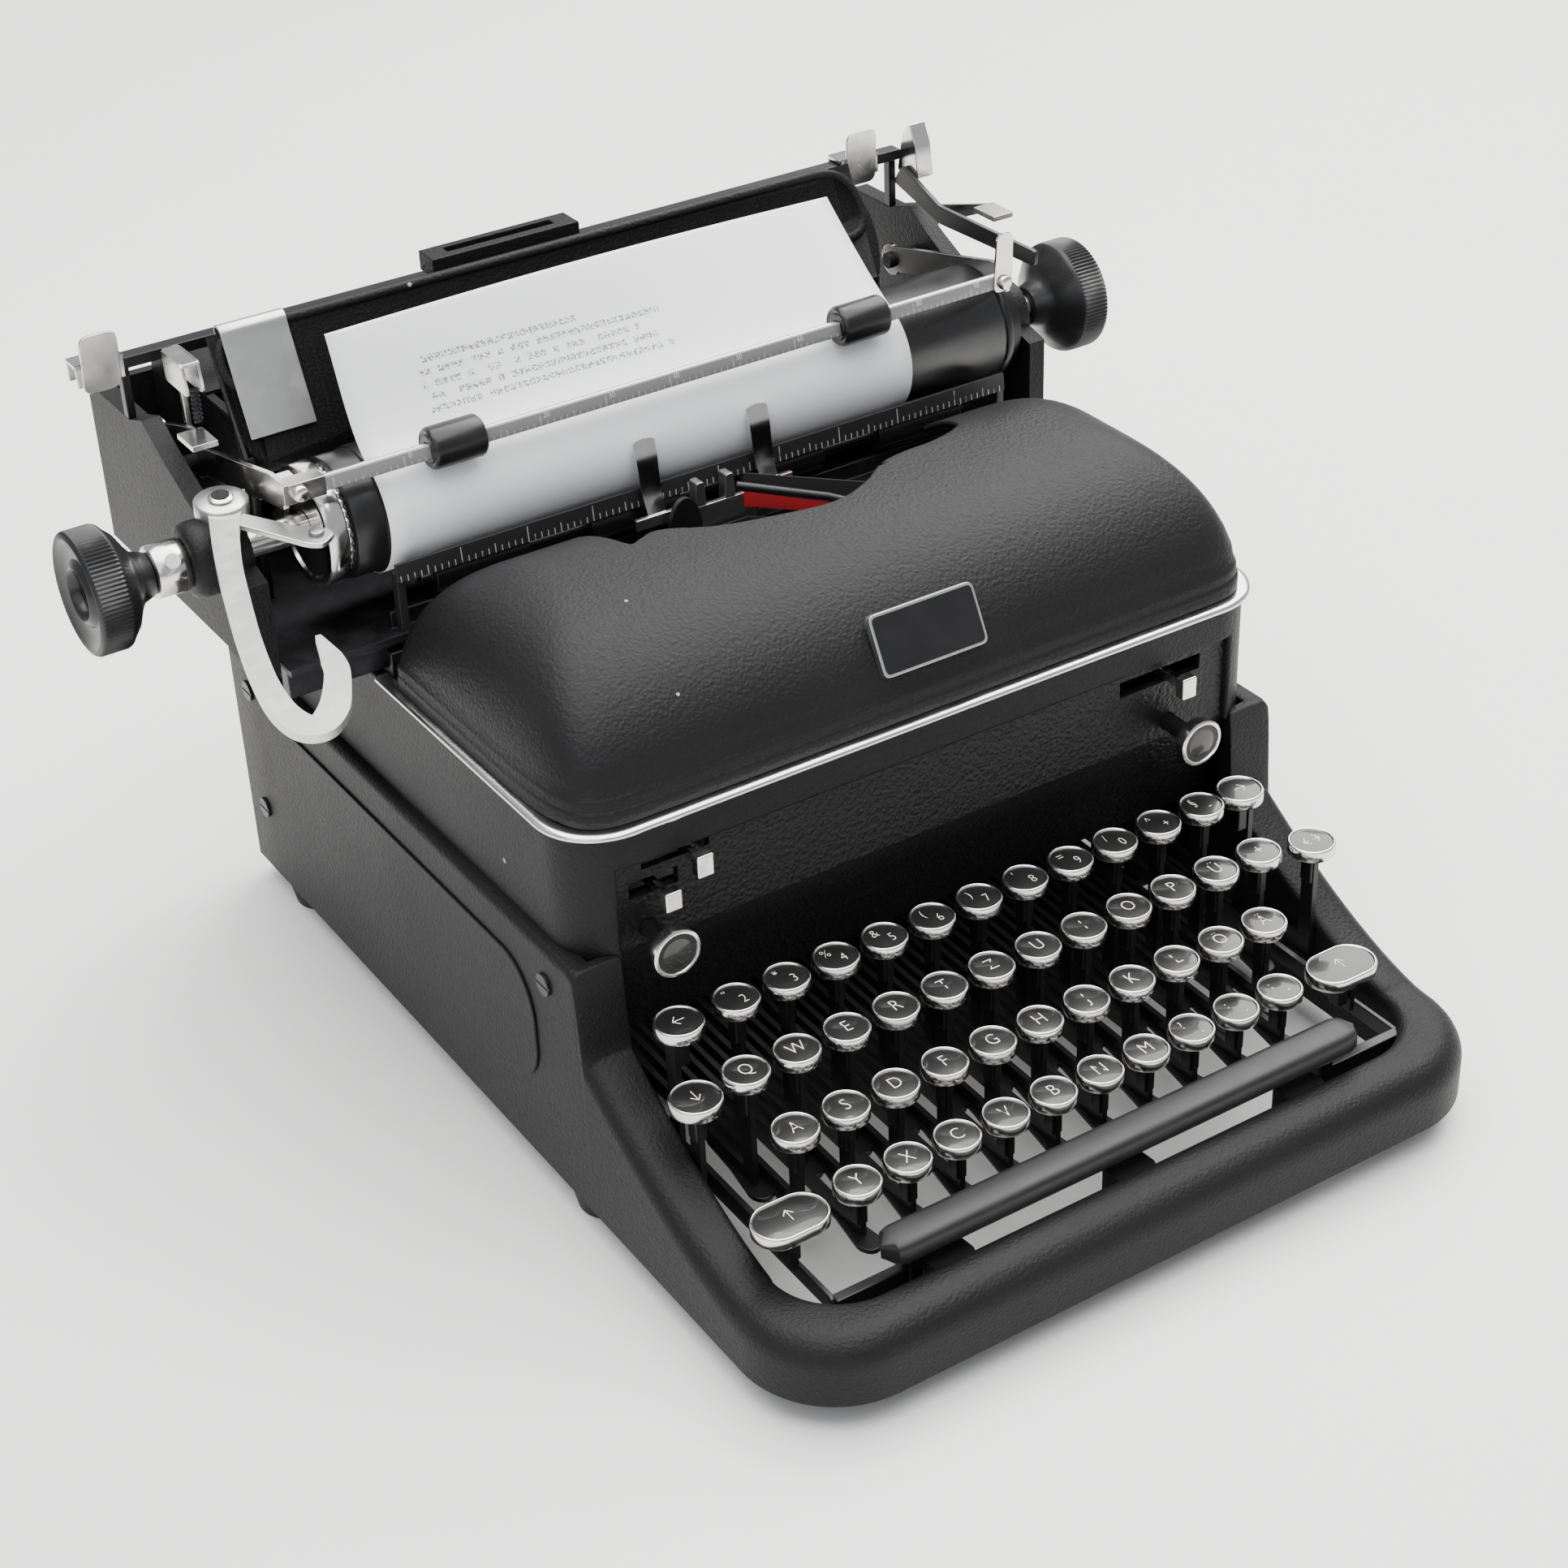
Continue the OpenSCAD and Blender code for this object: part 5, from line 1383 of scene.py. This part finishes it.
@dataclass
class Interior:
    """The type guide, ribbon, spools, type basket and drive behind the keys."""

    type_x: float = -8.0

    def finger(self, x: float) -> Part:
        """A thin bright finger: a bent strip that widens, then closes to a round tip."""
        path = smooth_path([(251.6, 180), (253.6, 184.5), (255.4, 189.5), (256.4, 195), (257.2, 200.5),
                            (258.6, 205.5), (259.4, 207.4)], 5)
        t = np.linspace(0, 1, len(path))
        half = np.where(t > 0.86, 4.3 * np.sqrt(np.clip(1.02 - ((t - 0.86) / 0.14) ** 2, 0, 1)),
                        np.interp(t, [0, 0.3, 0.86], [3.4, 3.8, 4.3]))
        way = np.gradient(path, axis=0)
        normal = np.stack([-way[:, 1], way[:, 0]], -1) / np.linalg.norm(way, axis=1, keepdims=True) * 0.45
        ring = [(-1, -1), (1, -1), (1, 1), (-1, 1)]
        points = np.stack([np.concatenate([(x + side * half)[:, None], path + out * normal], 1)
                           for side, out in ring], 1)
        faces = grid_faces(len(path), 4, wrap_cols=True) + [[0, 1, 2, 3],
                                                            [4 * len(path) - k for k in (1, 2, 3, 4)]]
        return points.reshape(-1, 3), faces

    def guide_plate(self) -> Part:
        """The standing plate with its fork, side lugs and arms."""
        t = self.type_x
        neck = rounded([(150.5, t - 16), (150.5, t + 16), (180, t + 16), (180, t - 16)], 2.0)
        parts = [plate(neck, Axis.Y, 250.5, 252.5), slab((t - 16, 252, 150.5), (t + 16, 266, 156.5))]
        for side in (-1, 1):
            fork = rounded([(178.5, t + side * 6 - 2.2), (178.5, t + side * 6 + 2.2),
                            (189, t + side * 6 + 1.6), (189, t + side * 6 - 1.6)], 1.0)
            parts += [plate(fork, Axis.Y, 250.6, 255.6),
                      slab((t + side * 15 - 1.5, 250.6, 168), (t + side * 15 + 1.5, 252.4, 182)),
                      slab((t + side * 23 - 9, 250.6, 178), (t + side * 23 + 9, 252.4, 182))]
        return join(parts)

    def build(self) -> None:
        """The type guide, fingers, ribbon, shields, type basket, spools, drum, escapement and feed
        rollers."""
        make("type_guide_plate", self.guide_plate(), "body", SATIN, ["type_guide"],
             bevel=0.3)
        fingers = [self.finger(self.type_x + side * 23) for side in (-1, 1)]
        make("card_fingers", join(fingers), "body", NICKEL, smooth=40)
        paint("ribbon", RIBBON)
        rise = [(3.0, 249.9, 188.0), (50.0, 229.0, 178.0), (50.0, 229.0, 165.0), (3.0, 249.9, 175.0)]
        strip = (np.array(rise + [(x + 0.2, y + 0.4, z) for x, y, z in rise]),
                 [[0, 1, 2, 3], [7, 6, 5, 4], [0, 4, 5, 1], [1, 5, 6, 2], [2, 6, 7, 3], [3, 7, 4, 0]])
        make("ribbon_rise", strip, "body", RibbonSlant("ribbon_slant", (0, 0, 0), 0.7))
        a = np.linspace(0, 2 * math.pi, 32, endpoint=False)
        oval = [(176.0 + 13.0 * math.sin(k), -24.5 + 6.5 * math.cos(k)) for k in a]
        bars = [tube(np.array([(-2, 246.5, 186), (26, 232, 179), (52, 222.5, 168)]), 1.7, 10)]
        make("ribbon_shields", join([plate(oval, Axis.Y, 243.5, 245.5)] + bars), "body", ENAMEL,
             smooth=40)
        refine("type_segment", "basket", STEEL, 0.3)
        paint("typebars", STEEL)
        for side in ("left", "right"):
            refine("ribbon_spool_" + side, "spool_" + side, DARK_STEEL, 0.3)
        refine("mainspring_drum", "drum", BRASS, 0.4)
        refine("escapement_wheel", "escapement", BRASS, 0.2)
        refine("feed_rollers", "feed", RUBBER, 0.3)


@dataclass
class FrontControls:
    """The small levers and buttons on the front panel."""

    def build(self) -> None:
        """Makes the tab buttons' rings and faces and refines the sliders."""
        for node, body in (("colour_selector", "selector"), ("touch_lever", "touch"),
                           ("stencil_lever", "stencil")):
            refine(node, body, NICKEL, 0.6)
        for node, body, x in (("tab_clear_key", "tab_clear", -112.0), ("tab_set_key", "tab_set", 99.0)):
            paint(node, ENAMEL)
            ring = turned([(117.2, 7.8), (116.0, 8.4), (112.6, 8.5), (112.1, 7.9), (112.2, 7.2),
                           (112.9, 6.9)], Axis.Y, (x, 0, 110.5), 40)
            make(node + "_ring", ring, body, NICKEL, smooth=50)
            face = turned([(112.9, 7.0), (112.55, 5.0), (112.3, 2.5), (112.25, 0.05)], Axis.Y,
                          (x, 0, 110.5), 40)
            make(node + "_face", face, body, KEY_FACE)


# ---------------------------------------------------------------- studio

@dataclass
class Studio:
    """Plain pale floor, soft lights and the camera."""

    lens: float = 67.23
    eye: Tuple[float, float, float] = (-473.396, -537.664, 643.818)
    right: Tuple[float, float, float] = (0.837647, -0.545095, -0.034919)
    up: Tuple[float, float, float] = (0.317431, 0.433777, 0.843252)
    back: Tuple[float, float, float] = (-0.444505, -0.717432, 0.536382)

    def floor(self) -> None:
        """A large pale floor."""
        graph = Graph("floor")
        cloud = graph.noise(graph.coords(), 4.0, 2.0)
        graph.set(Base_Color=graph.mix(cloud, (0.80, 0.79, 0.775), (0.83, 0.82, 0.805)), Roughness=0.55)
        mesh = bpy.data.meshes.new("floor")
        mesh.from_pydata([(-8, -8, 0), (8, -8, 0), (8, 8, 0), (-8, 8, 0)], [], [(0, 1, 2, 3)])
        mesh.materials.append(graph.mat)
        floor = bpy.data.objects.new("floor", mesh)
        bpy.context.scene.collection.objects.link(floor)

    def light(self, name: str, place: Sequence[float], target: Sequence[float], size: float, power: float,
              colour: Sequence[float]) -> None:
        """A square area light at a place in metres, aimed at a target."""
        data = bpy.data.lights.new(name, "AREA")
        data.size, data.energy, data.color = size, power, colour
        lamp = bpy.data.objects.new(name, data)
        lamp.location = place
        lamp.rotation_euler = (Vector(target) - Vector(place)).to_track_quat("-Z", "Y").to_euler()
        bpy.context.scene.collection.objects.link(lamp)

    def build(self) -> None:
        """Makes the floor, lights, world and camera."""
        self.floor()
        world = bpy.data.worlds.new("studio")
        world.use_nodes = True
        world.node_tree.nodes["Background"].inputs[0].default_value = (0.93, 0.95, 1.0, 1.0)
        world.node_tree.nodes["Background"].inputs[1].default_value = 0.6
        bpy.context.scene.world = world
        self.light("overhead", (0.1, 0.1, 2.3), (0, 0, 0), 3.0, 190.0, (1.0, 0.99, 0.975))
        self.light("window", (1.5, 0.9, 1.7), (0, 0, 0.1), 1.6, 62.0, (1.0, 0.985, 0.96))
        self.light("fill", (-1.6, -1.2, 1.6), (0, 0, 0.1), 2.0, 20.0, (0.92, 0.96, 1.0))
        data = bpy.data.cameras.new("camera")
        data.lens, data.sensor_width, data.sensor_fit = self.lens, 36.0, "HORIZONTAL"
        data.clip_end = 60.0
        camera = bpy.data.objects.new("camera", data)
        turn = Matrix((self.right, self.up, self.back)).transposed().to_4x4()
        camera.matrix_world = Matrix.Translation(Vector(LAYOUT.place(np.array(self.eye))[0])) @ turn
        bpy.context.scene.collection.objects.link(camera)
        bpy.context.scene.camera = camera


def main() -> None:
    """Builds every sub-assembly in order."""
    logging.basicConfig(level=logging.INFO, format="%(message)s")
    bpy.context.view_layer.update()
    Studio().build()
    for part in (BodyCasting(), RibbonCover(), Keyboard(), SpaceBar(), FrontControls(), Platen(),
                 PaperWork(), Bail(), ReturnLever(), CarriageEnds(), Interior()):
        log.info("building %s", type(part).__name__)
        part.build()


if __name__ == "__main__":
    main()
